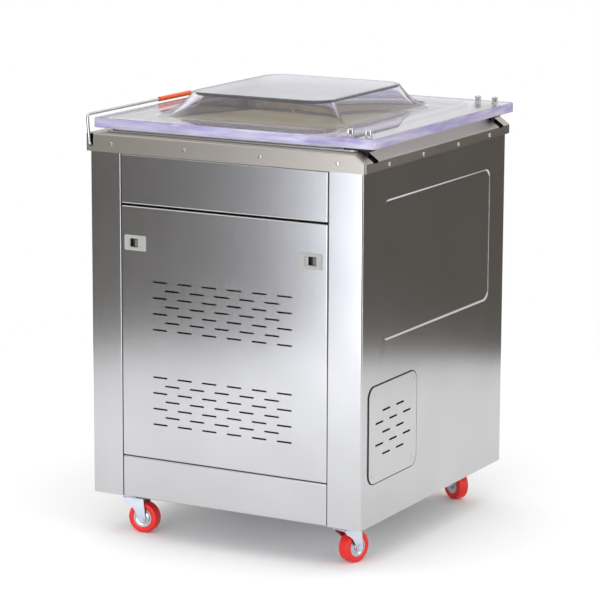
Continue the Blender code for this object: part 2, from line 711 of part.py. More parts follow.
def make_castor(name, swivel, heading):
    plate_thick = 0.0025
    outline = ring(-0.035, 0.035, 0.0275, 0.006, 0, steps=2)
    plate = slab(f"castor_plate_{name}", outline, plate_thick, "zinc", swivel)
    plate.location.z = -gap - plate_thick / 2
    cup_top = -plate_thick - 2 * gap
    crown = -0.0135
    axle_z = wheel_radius - castor_height
    fork = turned(f"castor_fork_{name}", [
        (0, cup_top), (0.021, cup_top), (0.0255, -0.0080), (0.021, crown), (0.010, crown - 0.001),
        (0, crown - 0.001)], "zinc", sides=16, parent=swivel)
    fork.rotation_euler.z = heading
    leg_outline = [(-0.016, crown - 0.003), (0.029, crown - 0.003), (0.0335, axle_z + 0.004)]
    for step in range(7):
        angle = math.radians(20 - step * 36.7)
        leg_outline.append((castor_trail + 0.009 * math.cos(angle), axle_z + 0.009 * math.sin(angle)))
    leg_outline += [(0.009, -0.037), (-0.010, -0.024)]
    parts = [box(f"fork_crown_{name}", (-0.016, -0.0175, crown - 0.003), (0.029, 0.0175, crown),
                 parent=swivel),
             rod(f"fork_axle_{name}", (castor_trail, -0.0215, axle_z), (castor_trail, 0.0215, axle_z),
                 0.004, sides=12, parent=swivel)]
    for side in (-1, 1):
        leg = slab(f"fork_leg_{name}_{side}", list(reversed(leg_outline)), 0.0025, parent=swivel)
        leg.rotation_euler = (math.pi / 2, 0, 0)
        leg.location.y = side * 0.01625
        parts.append(leg)
        low, high = sorted((side * 0.0170, side * 0.0220))
        parts.append(rod(f"axle_nut_{name}_{side}", (castor_trail, low, axle_z),
                         (castor_trail, high, axle_z), 0.0070, sides=6, parent=swivel))
    for part in parts:
        part.parent = fork
    join(fork, *parts)

    hub_outer = 0.0195
    sides = 24
    to_vertex = 1 / math.cos(math.pi / sides)
    hub = turned(f"castor_hub_{name}", [
        (0.0043, 0.0135), (0.0085, 0.0135), (0.0100, 0.0105), (hub_outer, 0.0115),
        (hub_outer, -0.0115), (0.0100, -0.0105), (0.0085, -0.0135), (0.0043, -0.0135)],
        "aluminium", sides=sides, ring=True, parent=swivel)
    half_width = wheel_width / 2
    tyre = turned(f"castor_tyre_{name}", [
        (hub_outer + gap, half_width - 0.001), (0.0270, half_width),
        (wheel_radius * to_vertex, half_width - 0.0045), (wheel_radius * to_vertex, -half_width + 0.0045),
        (0.0270, -half_width), (hub_outer + gap, -half_width + 0.001)],
        "red", sides=sides, ring=True, parent=swivel, half_step=True)
    for wheel in (hub, tyre):
        wheel.location = (castor_trail * math.cos(heading), castor_trail * math.sin(heading), axle_z)
        wheel.rotation_euler = (math.pi / 2, 0, heading)


make_base()
make_side_panels()
make_vent_plate()
make_front_panels()
make_door()
make_latches()
make_rim()
make_chamber()
make_seal_bars()
make_lid()
make_lid_screws()
make_hinge()
make_bail()
make_controls()
make_inside()
make_castors()
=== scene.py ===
import math

import bmesh
import bpy
from mathutils import Matrix, Vector


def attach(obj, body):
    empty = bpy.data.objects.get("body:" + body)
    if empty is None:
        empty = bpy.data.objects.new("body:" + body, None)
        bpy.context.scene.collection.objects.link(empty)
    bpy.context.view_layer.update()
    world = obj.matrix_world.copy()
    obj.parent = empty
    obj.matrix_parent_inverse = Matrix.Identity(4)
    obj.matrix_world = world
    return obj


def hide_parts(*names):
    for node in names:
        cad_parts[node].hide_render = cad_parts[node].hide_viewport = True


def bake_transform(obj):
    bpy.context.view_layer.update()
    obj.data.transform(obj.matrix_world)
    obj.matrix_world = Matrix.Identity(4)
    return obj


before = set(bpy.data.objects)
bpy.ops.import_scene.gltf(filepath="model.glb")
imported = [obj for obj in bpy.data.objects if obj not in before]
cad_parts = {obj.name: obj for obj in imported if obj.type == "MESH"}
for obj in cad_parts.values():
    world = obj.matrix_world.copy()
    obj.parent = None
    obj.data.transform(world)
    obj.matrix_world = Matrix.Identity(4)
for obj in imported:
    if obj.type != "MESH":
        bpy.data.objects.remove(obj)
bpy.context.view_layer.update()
print("frame loaded:", len(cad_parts), "nodes")

castorHeight = 0.087  # every height below is measured from the cabinet's bottom edge
sides = {"near": -1, "far": 1}
level = Matrix.Identity(4)
frontal = Matrix.Rotation(math.pi / 2, 4, "X")
sideways = Matrix(((0, 0, 1, 0), (1, 0, 0, 0), (0, 1, 0, 0), (0, 0, 0, 1)))


def linearColour(hexText):  # sRGB hex to the linear values a shader wants
    channels = [int(hexText[i:i + 2], 16) / 255 for i in (0, 2, 4)]
    return [c / 12.92 if c <= 0.04045 else ((c + 0.055) / 1.055) ** 2.4 for c in channels] + [1.0]


def addNode(tree, kind, settings=None, inputs=None):
    node = tree.nodes.new(kind)
    for name, value in (settings or {}).items():
        setattr(node, name, value)
    for name, value in (inputs or {}).items():
        if isinstance(value, bpy.types.NodeSocket):
            tree.links.new(value, node.inputs[name])
        else:
            node.inputs[name].default_value = value
    return node


def newMaterial(name, colour, **sockets):
    material = bpy.data.materials.new(name)
    material.use_nodes = True
    shader = material.node_tree.nodes["Principled BSDF"]
    shader.inputs["Base Color"].default_value = linearColour(colour)
    for socket, value in sockets.items():
        shader.inputs[socket.replace("_", " ")].default_value = value
    return material


# one noise pattern moves roughness, colour or height; its size is in mm along an axis that isn't stretched
def layGrain(material, size, stretch=(1, 1, 1), detail=3.0, roughness=None, colours=None, bump=None,
             brushAxis=None):
    tree = material.node_tree
    shader = tree.nodes["Principled BSDF"]
    place = addNode(tree, "ShaderNodeTexCoord").outputs["Object"]
    turned = addNode(tree, "ShaderNodeMapping", inputs={"Vector": place, "Scale": stretch}).outputs["Vector"]
    grain = addNode(tree, "ShaderNodeTexNoise",
                    inputs={"Vector": turned, "Scale": 1000 / size, "Detail": detail}).outputs["Fac"]
    if roughness:
        span = addNode(tree, "ShaderNodeMapRange",
                       inputs={"Value": grain, "To Min": roughness[0], "To Max": roughness[1]})
        tree.links.new(span.outputs["Result"], shader.inputs["Roughness"])
    if colours:
        ramp = addNode(tree, "ShaderNodeValToRGB", inputs={"Fac": grain})
        for element, position, colour in zip(ramp.color_ramp.elements, (0.3, 0.7), colours):
            element.position = position
            element.color = linearColour(colour)
        tree.links.new(ramp.outputs["Color"], shader.inputs["Base Color"])
    if bump:
        push = addNode(tree, "ShaderNodeBump", inputs={"Height": grain, "Strength": bump, "Distance": 0.0001})
        tree.links.new(push.outputs["Normal"], shader.inputs["Normal"])
    if brushAxis:
        around = addNode(tree, "ShaderNodeTangent", {"direction_type": "RADIAL", "axis": brushAxis})
        tree.links.new(around.outputs["Tangent"], shader.inputs["Tangent"])


def vertsOf(made):
    return [item for item in made if isinstance(item, bmesh.types.BMVert)]


def edgesOf(verts):  # in the order they are met, so that every run builds the same mesh
    return list(dict.fromkeys(edge for vert in verts for edge in vert.link_edges))


def addBox(bm, low, high):
    low, high = Vector(low), Vector(high)
    size = Matrix.Diagonal((*(high - low), 1.0))
    return bmesh.ops.create_cube(bm, size=1.0, matrix=Matrix.Translation((low + high) / 2) @ size)["verts"]


def roundEdges(bm, edges, radius, segments=3):
    bmesh.ops.bevel(bm, geom=edges, offset=radius, affect="EDGES", segments=segments, profile=0.5,
                    material=-1)


def addRoundBox(bm, low, high, radius, segments=3):
    roundEdges(bm, edgesOf(addBox(bm, low, high)), radius, segments)


def addRod(bm, start, end, radius, segments=24, radiusEnd=None):
    start, end = Vector(start), Vector(end)
    turn = (end - start).to_track_quat("Z", "Y").to_matrix().to_4x4()
    place = Matrix.Translation((start + end) / 2) @ turn
    radiusEnd = radius if radiusEnd is None else radiusEnd
    bmesh.ops.create_cone(bm, cap_ends=True, segments=segments, radius1=radius, radius2=radiusEnd,
                          depth=(end - start).length, matrix=place)


def addLoop(bm, centre, halfU, halfV, radius, turn=level, segments=32):  # an open rounded rectangle or circle
    halfStep = math.pi / segments
    loop = bmesh.ops.create_circle(bm, cap_ends=False, segments=segments, radius=radius / math.cos(halfStep),
                                   matrix=Matrix.Rotation(halfStep, 4, "Z"))["verts"]
    for vert in loop:
        vert.co.x += math.copysign(halfU - radius, vert.co.x)
        vert.co.y += math.copysign(halfV - radius, vert.co.y)
        vert.co = Matrix.Translation(centre) @ turn @ vert.co
    return loop


def addRing(bm, lowX, highX, halfY, radius, z, segments=32):  # a level loop that is even about the XZ plane
    return addLoop(bm, ((lowX + highX) / 2, 0, z), (highX - lowX) / 2, halfY, radius, level, segments)


def loopEdges(loop):
    members = set(loop)
    return [edge for edge in edgesOf(loop) if edge.verts[0] in members and edge.verts[1] in members]


def cap(bm, loop):
    bmesh.ops.contextual_create(bm, geom=loopEdges(loop))


def skin(bm, loops, closed=False, caps=False):  # walls from loop to loop, vertex by vertex
    for first, second in zip(loops, loops[1:] + ([loops[0]] if closed else [])):
        fresh = set(vertsOf(bmesh.ops.extrude_edge_only(bm, edges=loopEdges(first))["geom"]))
        target = {}
        for vert, goal in zip(first, second):
            others = (edge.other_vert(vert) for edge in vert.link_edges)
            target[next(other for other in others if other in fresh)] = goal
        bmesh.ops.weld_verts(bm, targetmap=target)
    for loop in (loops[0], loops[-1]) if caps else ():
        cap(bm, loop)


def fillFlat(bm, loops):  # a flat sheet between the first loop and the holes that the others make
    edges = [edge for loop in loops for edge in loopEdges(loop)]
    bmesh.ops.triangle_fill(bm, use_beauty=True, use_dissolve=False, edges=edges)


def addPlug(bm, centre, halfU, halfV, radius, turn, depth, segments=16):  # a closed block, rounded outline
    along = turn.to_3x3() @ Vector((0, 0, depth / 2))
    skin(bm, [addLoop(bm, Vector(centre) + side * along, halfU, halfV, radius, turn, segments)
              for side in (-1, 1)], caps=True)


def addPlate(bm, outline, y, depth):  # a plate with an outline of (x, z) points, its depth along Y
    face = bm.faces.new([bm.verts.new((x, y, z)) for x, z in outline])
    made = bmesh.ops.extrude_face_region(bm, geom=[face])["geom"]
    bmesh.ops.translate(bm, vec=(0, depth, 0), verts=vertsOf(made))


def arcPoints(centreX, centreZ, radius, degrees):
    angles = [math.radians(angle) for angle in degrees]
    return [(centreX + radius * math.cos(angle), centreZ + radius * math.sin(angle)) for angle in angles]


def bendOn(bm, edges, centre, axis, angle, steps=5):
    verts = list(dict.fromkeys(vert for edge in edges for vert in edge.verts))
    made = bmesh.ops.spin(bm, geom=verts + edges, cent=centre, axis=axis, angle=angle, steps=steps)
    return [item for item in made["geom_last"] if isinstance(item, bmesh.types.BMEdge)]


def extendOn(bm, edges, step):
    made = bmesh.ops.extrude_edge_only(bm, edges=edges)["geom"]
    bmesh.ops.translate(bm, vec=step, verts=vertsOf(made))
    return [item for item in made if isinstance(item, bmesh.types.BMEdge)]


def spinProfile(bm, points, centre, axis, steps=32, closed=False):  # points are (radius, place on the axis)
    axis = Vector(axis).normalized()
    across = axis.orthogonal().normalized()
    before = set(bm.verts)
    verts = [bm.verts.new(Vector(centre) + across * radius + axis * along) for radius, along in points]
    edges = [bm.edges.new(pair) for pair in zip(verts, verts[1:])]
    if closed:
        edges.append(bm.edges.new((verts[-1], verts[0])))
    bmesh.ops.spin(bm, geom=verts + edges, cent=centre, axis=axis, angle=2 * math.pi, steps=steps,
                   use_merge=True)
    made = [vert for vert in bm.verts if vert not in before]
    bmesh.ops.remove_doubles(bm, verts=made, dist=0.000004)


def addPanHead(bm, centre, axis, radius, height):  # a small screw head with a socket in it
    profile = [(0, 0.45), (0.40, 0.45), (0.45, 1.0), (0.70, 0.97), (0.92, 0.60), (1.0, 0.15), (1.0, 0),
               (0, 0)]
    spinProfile(bm, [(across * radius, up * height) for across, up in profile], centre, axis, 20)


def roundedPath(corners, radius, steps=8):  # a path whose inner corners are arcs that meet both legs
    corners = [Vector(corner) for corner in corners]
    points = [corners[0]]
    for before, corner, after in zip(corners, corners[1:], corners[2:]):
        arrive = (before - corner).normalized()
        leave = (after - corner).normalized()
        halfAngle = arrive.angle(leave) / 2
        centre = corner + (arrive + leave).normalized() * radius / math.sin(halfAngle)
        first = (corner + arrive * radius / math.tan(halfAngle) - centre).normalized()
        last = (corner + leave * radius / math.tan(halfAngle) - centre).normalized()
        for step in range(steps + 1):
            points.append(centre + first.slerp(last, step / steps) * radius)
    return points + [corners[-1]]


def tubeMesh(points, radius, roundness=6):
    curve = bpy.data.curves.new("tube", "CURVE")
    curve.dimensions = "3D"
    curve.bevel_depth = radius
    curve.bevel_resolution = roundness
    curve.use_fill_caps = True
    spline = curve.splines.new("POLY")
    spline.points.add(len(points) - 1)
    for point, place in zip(spline.points, points):
        point.co = (*place, 1.0)
    guide = bpy.data.objects.new("tube", curve)
    bpy.context.scene.collection.objects.link(guide)
    mesh = bpy.data.meshes.new_from_object(guide.evaluated_get(bpy.context.evaluated_depsgraph_get()))
    bpy.data.objects.remove(guide, do_unlink=True)
    bm = bmesh.new()
    bm.from_mesh(mesh)
    bmesh.ops.remove_doubles(bm, verts=bm.verts, dist=0.00001)
    return bm


def shadeRound(mesh, degrees):
    mesh.shade_smooth()
    mesh.set_sharp_from_angle(angle=math.radians(degrees))


def newObject(name, bm, material, smooth=35):
    mesh = bpy.data.meshes.new(name)
    bm.to_mesh(mesh)
    bm.free()
    shadeRound(mesh, smooth)
    mesh.materials.append(material)
    piece = bpy.data.objects.new(name.replace(" ", "-"), mesh)
    bpy.context.scene.collection.objects.link(piece)
    return piece


def applyModifiers(piece, smooth=35):
    mesh = bpy.data.meshes.new_from_object(piece.evaluated_get(bpy.context.evaluated_depsgraph_get()))
    piece.modifiers.clear()
    piece.data = mesh
    shadeRound(mesh, smooth)


def closedPiece(name, bm, material, smooth=35):
    bmesh.ops.recalc_face_normals(bm, faces=bm.faces)
    if bm.calc_volume(signed=True) < 0:
        bmesh.ops.reverse_faces(bm, faces=bm.faces)
    return newObject(name, bm, material, smooth)


def sheetPiece(name, bm, material, thickness, middleZ=0.35):  # an open shell, thickened to its inner side
    bmesh.ops.remove_doubles(bm, verts=bm.verts, dist=0.000004)
    bmesh.ops.recalc_face_normals(bm, faces=bm.faces)
    widest = max(bm.faces, key=lambda face: face.calc_area())
    if widest.normal.dot(widest.calc_center_median() - Vector((0, 0, middleZ))) < 0:
        bmesh.ops.reverse_faces(bm, faces=bm.faces)
    piece = newObject(name, bm, material)
    solidify = piece.modifiers.new("sheet", "SOLIDIFY")
    solidify.thickness = thickness
    solidify.offset = -1.0
    solidify.use_even_offset = True
    applyModifiers(piece)
    return piece


def punch(piece, bm):  # cuts the piece with every block in the bmesh
    bmesh.ops.recalc_face_normals(bm, faces=bm.faces)
    cutter = newObject("punch", bm, piece.data.materials[0])
    boolean = piece.modifiers.new("punch", "BOOLEAN")
    boolean.operation = "DIFFERENCE"
    boolean.solver = "MANIFOLD"
    boolean.object = cutter
    applyModifiers(piece)
    bpy.data.objects.remove(cutter, do_unlink=True)


def easeEdges(piece, width):
    bevel = piece.modifiers.new("eased", "BEVEL")
    bevel.width = width
    bevel.segments = 2
    bevel.limit_method = "ANGLE"
    bevel.angle_limit = math.radians(40)


def settle(piece, body, slot, *nodes):  # lifts a piece onto the castors and gives it to its body
    weighted = piece.modifiers.new("weighted", "WEIGHTED_NORMAL")
    weighted.keep_sharp = True
    weighted.weight = 90
    piece.data.transform(Matrix.Translation((0, 0, castorHeight)))
    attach(piece, body)
    if nodes:
        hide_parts(*nodes)


# brushed stainless sheet: fine vertical lines stretch its highlights, and handling leaves cloudy marks
brushedSheet = newMaterial("brushed stainless sheet", "c0c0c1", Metallic=1.0, Roughness=0.20, Anisotropic=0.4)
layGrain(brushedSheet, 0.9, (1, 1, 0.012), 2.0, roughness=(0.17, 0.23), bump=0.05, brushAxis="Z")
layGrain(brushedSheet, 160, detail=2.0, colours=("bebebf", "c5c5c6"))

# brushed stainless top rim: lines run along X, warmer and duller than the cabinet
brushedTop = newMaterial("brushed stainless top rim", "b2ada5", Metallic=1.0, Roughness=0.37, Anisotropic=0.6)
layGrain(brushedTop, 0.8, (0.012, 1, 1), 2.0, roughness=(0.33, 0.41), bump=0.12, brushAxis="X")

# polished stainless chamber: bright, with fine random scratches from use
polishedChamber = newMaterial("polished stainless chamber", "c9c6c2", Metallic=1.0, Roughness=0.2)
layGrain(polishedChamber, 2.5, (1, 0.2, 1), 4.0, roughness=(0.14, 0.28))

# clear cast acrylic: polished faces with sharp reflections
clearAcrylic = newMaterial("clear cast acrylic", "f4f1fc", Roughness=0.02, IOR=1.49, Transmission_Weight=0.97)
layGrain(clearAcrylic, 40, roughness=(0.01, 0.04))

# flame-polished acrylic edge: the long light path through the sheet tints it violet, in uneven patches
acrylicEdge = newMaterial("acrylic sheet edge", "cdc4e8", Roughness=0.12, IOR=1.49, Transmission_Weight=0.45)
layGrain(acrylicEdge, 6, (1, 1, 8), roughness=(0.08, 0.2))
layGrain(acrylicEdge, 70, (1, 1, 7), 4.0, colours=("b3a8e2", "e4e0f3"))

# extruded silicone rubber: pale, matt and slightly dusty
paleSilicone = newMaterial("pale silicone rubber", "cfcfcb", Roughness=0.6)
layGrain(paleSilicone, 3, roughness=(0.5, 0.7))

# sprayed black paint on steel: a satin sheen over a faint orange peel. The same black is painted on the top
# rim's slot walls and floors as shade.
blackPaintAndSlotShade = newMaterial("satin black paint and painted slot shade", "17171a", Roughness=0.42)
layGrain(blackPaintAndSlotShade, 0.6, roughness=(0.36, 0.5), bump=0.1)

# turned and drawn stainless: bright, with small changes of polish
turnedSteel = newMaterial("bright turned stainless", "d2d1cf", Metallic=1.0, Roughness=0.14)
layGrain(turnedSteel, 1.2, roughness=(0.1, 0.2))

# cast iron: a dark and grainy skin from the sand mould
castIron = newMaterial("cast iron bearing", "3b3835", Metallic=0.7, Roughness=0.6)
layGrain(castIron, 0.9, colours=("34312e", "45413d"), bump=0.4)

# extruded plastic tube: strong orange, with faint lines of polish along its length
orangePlastic = newMaterial("orange plastic tube", "ff6408", Roughness=0.35)
layGrain(orangePlastic, 4, (1, 0.1, 1), roughness=(0.28, 0.42))

# moulded plastics of the latches: a fine spark texture that dulls the sheen
greyPlastic = newMaterial("pale grey moulded plastic", "9a9a95", Roughness=0.42)
layGrain(greyPlastic, 0.5, roughness=(0.38, 0.5), bump=0.08)
# dark grey painted into the slides' thumb hollows as shade in the pocket
pocketShadePlastic = newMaterial("dark grey painted pocket shade", "242322", Roughness=0.5)
layGrain(pocketShadePlastic, 0.5, roughness=(0.45, 0.58))
middlePlastic = newMaterial("mid-grey moulded plastic", "5f5f5c", Roughness=0.5)
layGrain(middlePlastic, 0.5, roughness=(0.45, 0.58))

# pressed heat-resistant board: dull khaki with short streaks along X
khakiBoard = newMaterial("khaki heat-resistant board", "b39a58", Roughness=0.6)
layGrain(khakiBoard, 1.5, (0.2, 1, 1), colours=("a98f4e", "bda463"))

# cutting-board plastic: waxy khaki, knife-marked along Y
boardPlastic = newMaterial("filler board plastic", "9a8d52", Roughness=0.5)
layGrain(boardPlastic, 2, (1, 0.1, 1), 5.0, roughness=(0.4, 0.62))

# enamel on cast aluminium: blue-grey, with the casting's grain under the paint
pumpEnamel = newMaterial("blue-grey enamel on castings", "4d5d6c", Roughness=0.4)
layGrain(pumpEnamel, 1.4, roughness=(0.34, 0.48), bump=0.25)

# moulded rubber: black and matt. The same black is painted as shade in the front seams and round the vent
# plate.
hoseRubberAndSeamShade = newMaterial("black rubber hose", "1b1a1a", Roughness=0.65)
layGrain(hoseRubberAndSeamShade, 2, roughness=(0.58, 0.74))

# moulded plastic of the valve: off-white with a soft sheen
whitePlastic = newMaterial("white moulded plastic", "e4e3de", Roughness=0.4)
layGrain(whitePlastic, 1, roughness=(0.34, 0.46))

# varnished transformer iron: the stacked laminations show as fine lines
laminatedIron = newMaterial("varnished laminated iron", "4a4038", Metallic=0.6, Roughness=0.5)
layGrain(laminatedIron, 0.7, (1, 0.02, 0.02), 1.0, colours=("3d342d", "5a4e44"))

# enamelled copper winding under clear amber tape: brown-red with a coat's shine
copperWinding = newMaterial("taped copper winding", "9a5a2c", Roughness=0.45, Coat_Weight=0.4)
layGrain(copperWinding, 0.8, (1, 0.05, 1), colours=("8a4d24", "ab6a38"))

# moulded plastic of the stop button: glossy red
redPlastic = newMaterial("red moulded plastic", "d8231c", Roughness=0.25)
layGrain(redPlastic, 5, roughness=(0.2, 0.32))

# zinc plating on pressed steel: a blue-white sheen that clouds from place to place
zincPlate = newMaterial("blue-white zinc plating", "b3bcc8", Metallic=1.0, Roughness=0.3)
layGrain(zincPlate, 2.5, roughness=(0.22, 0.38))
layGrain(zincPlate, 25, colours=("c3cedd", "dadfe6"))

# machined aluminium: pale, with a soft satin cut
machinedAluminium = newMaterial("machined aluminium hub", "c9cacd", Metallic=1.0, Roughness=0.28)
layGrain(machinedAluminium, 1, roughness=(0.22, 0.36))

# cast polyurethane: saturated red, lightly scuffed where it rolls
redTread = newMaterial("red polyurethane tread", "dd1712", Roughness=0.38)
layGrain(redTread, 3, roughness=(0.3, 0.5))

# coated card of the dial: even and matt
dialCard = newMaterial("printed dial card", "f2f1ec", Roughness=0.5)
layGrain(dialCard, 1, roughness=(0.45, 0.55))

# float glass: clear, with mirror-sharp reflections
flatGlass = newMaterial("gauge glass", "ffffff", Roughness=0.0, IOR=1.45, Transmission_Weight=1.0)
layGrain(flatGlass, 20, roughness=(0.0, 0.01))

# tinted display window: almost black and smooth
darkWindow = newMaterial("dark display window", "101512", Roughness=0.12)
layGrain(darkWindow, 10, roughness=(0.08, 0.16))

# embossed polyester keys: soft and matt to the touch
membraneKey = newMaterial("grey membrane key", "8f9498", Roughness=0.55)
layGrain(membraneKey, 1, roughness=(0.5, 0.6))
print("materials made")

panel = {"halfX": 0.306, "halfY": 0.321, "height": 0.700, "sheet": 0.0015, "bend": 0.004, "smallBend": 0.0016,
         "fold": 0.020, "hingeSeam": 0.232, "operatorSeam": -0.236}
recess = {"y": 0.0065, "z": 0.4985, "halfY": 0.2445, "halfZ": 0.1395, "radius": 0.024}
ventHole = {"y": -0.1885, "z": 0.1805, "halfY": 0.0865, "halfZ": 0.0685, "radius": 0.008}
port = {"z": 0.600, "gaugeY": 0.105, "gaugeRadius": 0.027, "stopY": -0.110, "stopRadius": 0.009}


def sidePanelMesh(facing, seamX, holes):  # a side with rounded corners, returns and inward folds at the seams
    bm = bmesh.new()
    halfX, halfY, bend, small = panel["halfX"], panel["halfY"], panel["bend"], panel["smallBend"]
    outline = addLoop(bm, (facing * halfX, 0, panel["height"] / 2), halfY - bend, panel["height"] / 2, 0.001,
                      sideways, 4)
    upright = [edge for edge in loopEdges(outline) if abs(edge.verts[0].co.z - edge.verts[1].co.z) > 0.1]
    fillFlat(bm, [outline] + [addLoop(bm, (facing * halfX, y, z), halfU, halfV, radius, sideways, segments)
                              for y, z, halfU, halfV, radius, segments in holes])
    for edge in upright:
        side = math.copysign(1, edge.verts[0].co.y)
        turn = facing * side * math.pi / 2
        edges = bendOn(bm, [edge], (facing * (halfX - bend), side * (halfY - bend), 0), (0, 0, 1), turn)
        edges = extendOn(bm, edges, (seamX + facing * small - facing * (halfX - bend), 0, 0))
        edges = bendOn(bm, edges, (seamX + facing * small, side * (halfY - small), 0), (0, 0, 1), turn, 3)
        extendOn(bm, edges, (0, -side * (panel["fold"] - small), 0))
    return bm


bm = sidePanelMesh(1, panel["hingeSeam"], [(*recess.values(), 48), (*ventHole.values(), 24)])
pressedSlope = ((0.0, 0.0), (0.0012, 0.0003), (0.0024, 0.0010), (0.0036, 0.0018), (0.0048, 0.0023),
                (0.0062, 0.0025))  # how far in and how deep the pressed rectangle's wall goes
rings = [addLoop(bm, (panel["halfX"] - depth, recess["y"], recess["z"]), recess["halfY"] - inset,
                 recess["halfZ"] - inset, recess["radius"] - inset, sideways, 48)
         for inset, depth in pressedSlope]
skin(bm, rings)
cap(bm, rings[-1])
settle(sheetPiece("hinge side panel", bm, brushedSheet, panel["sheet"]), "cabinet", "steel_sheet",
       "hinge_side_panel")

gaugeHole = (port["gaugeY"], port["z"], port["gaugeRadius"], port["gaugeRadius"], port["gaugeRadius"], 32)
stopHole = (port["stopY"], port["z"], port["stopRadius"], port["stopRadius"], port["stopRadius"], 24)
bm = sidePanelMesh(-1, panel["operatorSeam"], [gaugeHole, stopHole])
settle(sheetPiece("operator side panel", bm, brushedSheet, panel["sheet"]), "cabinet", "steel_sheet",
       "operator_side_panel")
print("side panels made")


def slotSpots(middle, z, counts, raised, spacing):  # staggered rows of slots, the row numbered raised at z
    return [(middle + (column - (count - 1) / 2) * spacing["pitch"], z + (raised - row) * spacing["rowStep"])
            for row, count in enumerate(counts) for column in range(count)]


vent = {"x": 0.3078, "halfY": 0.1025, "halfZ": 0.0965, "radius": 0.022, "pitch": 0.0593, "rowStep": 0.0218,
        "slotHalf": 0.0165, "slotHalfHeight": 0.0020}
bm = bmesh.new()
loops = [addLoop(bm, (vent["x"], ventHole["y"], ventHole["z"]), vent["halfY"], vent["halfZ"], vent["radius"],
                 sideways, 40)]
for slotY, slotZ in slotSpots(ventHole["y"], ventHole["z"], (2, 3, 2, 3, 2), 2, vent):
    loops.append(addLoop(bm, (vent["x"], slotY, slotZ), vent["slotHalf"], vent["slotHalfHeight"],
                         vent["slotHalfHeight"], sideways, 12))
fillFlat(bm, loops)
settle(sheetPiece("vent plate", bm, brushedSheet, panel["sheet"]), "cabinet", "steel_sheet", "vent_plate")

# the vent plate's dark outline is painted shade, a black ring standing in for the shadow line round its edge
ventShadeLip = ((0.3061, 0.0022), (0.3074, 0.0021), (0.3076, 0.0018), (0.3076, 0.0002), (0.3061, 0.0002))
bm = bmesh.new()  # a black rubber lip round the plate, a little proud of the panel: painted shade that draws the shadow line round the plate's edge
skin(bm, [addLoop(bm, (x, ventHole["y"], ventHole["z"]), vent["halfY"] + outset, vent["halfZ"] + outset,
                  vent["radius"] + outset, sideways, 40) for x, outset in ventShadeLip], closed=True)
settle(closedPiece("vent plate seal", bm, hoseRubberAndSeamShade), "cabinet", "hose_rubber")

front = {"lowX": -0.235, "highX": 0.231, "radius": 0.003, "apronLow": 0.6005, "kickTop": 0.085}


def trayMesh(lowZ, highZ, facing, holes=()):  # a pan-shaped panel, open at its back
    bm = bmesh.new()
    outer, inner = facing * panel["halfY"], facing * (panel["halfY"] - panel["fold"])
    verts = addBox(bm, (front["lowX"], min(outer, inner), lowZ), (front["highX"], max(outer, inner), highZ))
    rounded = [edge for edge in edgesOf(verts)
               if max(abs(vert.co.y - inner) for vert in edge.verts) > 0.001]
    roundEdges(bm, rounded, front["radius"])
    back = min(bm.faces, key=lambda face: abs(face.calc_center_median().y - inner))
    bmesh.ops.delete(bm, geom=[back], context="FACES_ONLY")
    wall = max(bm.faces, key=lambda face: face.calc_area())
    border = list(wall.verts)
    bmesh.ops.delete(bm, geom=[wall], context="FACES_ONLY")
    fillFlat(bm, [border] + [addLoop(bm, (x, outer, z), halfU, halfV, radius, frontal, 12)
                             for x, z, halfU, halfV, radius in holes])
    return bm


for name, lowZ, highZ, side in (("front apron", front["apronLow"], panel["height"], "near"),
                                ("kick panel", 0, front["kickTop"], "near"),
                                ("far panel", 0, panel["height"], "far")):
    tray = sheetPiece(name, trayMesh(lowZ, highZ, sides[side]), brushedSheet, panel["sheet"])
    settle(tray, "cabinet", "steel_sheet", name.replace(" ", "_"))

door = {"lowZ": 0.0860, "highZ": 0.5970, "middleX": -0.0047, "groups": (0.4480, 0.2545), "pitch": 0.0566,
        "rowStep": 0.0161, "slotHalf": 0.0165, "slotHalfHeight": 0.0017}
latch = {"z": 0.523, "left": -0.202, "right": 0.194, "doorHole": (0.0215, 0.0125, 0.003),
         "slideOffset": 0.0032, "flange": 0.0012, "halfX": 0.025, "halfZ": 0.0155,
         "windowHalfX": 0.0127, "windowHalfZ": 0.0095,
         "wallX": 0.0196, "wallZ": 0.0106, "wall": 0.0016, "depth": 0.014, "coverHalfX": 0.0158,
         "coverHalfZ": 0.0101, "stemHalfX": 0.0095, "stemHalfZ": 0.0097, "hollowHalfX": 0.0086,
         "hollowHalfZ": 0.0084, "hollowDepth": 0.0085}
holes = []
for topZ in door["groups"]:
    for x, z in slotSpots(door["middleX"], topZ, (6, 5, 6, 5, 6, 5, 6), 0, door):
        holes.append((x, z, door["slotHalf"], door["slotHalfHeight"], door["slotHalfHeight"]))
for side in ("left", "right"):
    holes.append((latch[side], latch["z"], *latch["doorHole"]))
bm = trayMesh(door["lowZ"], door["highZ"], sides["near"], holes)
settle(sheetPiece("service door", bm, brushedSheet, panel["sheet"]), "door", "steel_sheet", "service_door")

seam = {"x": (-0.2355, 0.2315), "half": 0.0004, "y": (0.0012 - panel["halfY"], 0.019 - panel["halfY"])}
bm = bmesh.new()  # black strips fill the two upright seams of the front, painted shade standing in for the dark gaps
for x in seam["x"]:
    addBox(bm, (x - seam["half"], seam["y"][0], 0.001), (x + seam["half"], seam["y"][1], 0.699))
settle(closedPiece("seam shadow strips", bm, hoseRubberAndSeamShade), "cabinet", "hose_rubber")
print("front panels and door made")
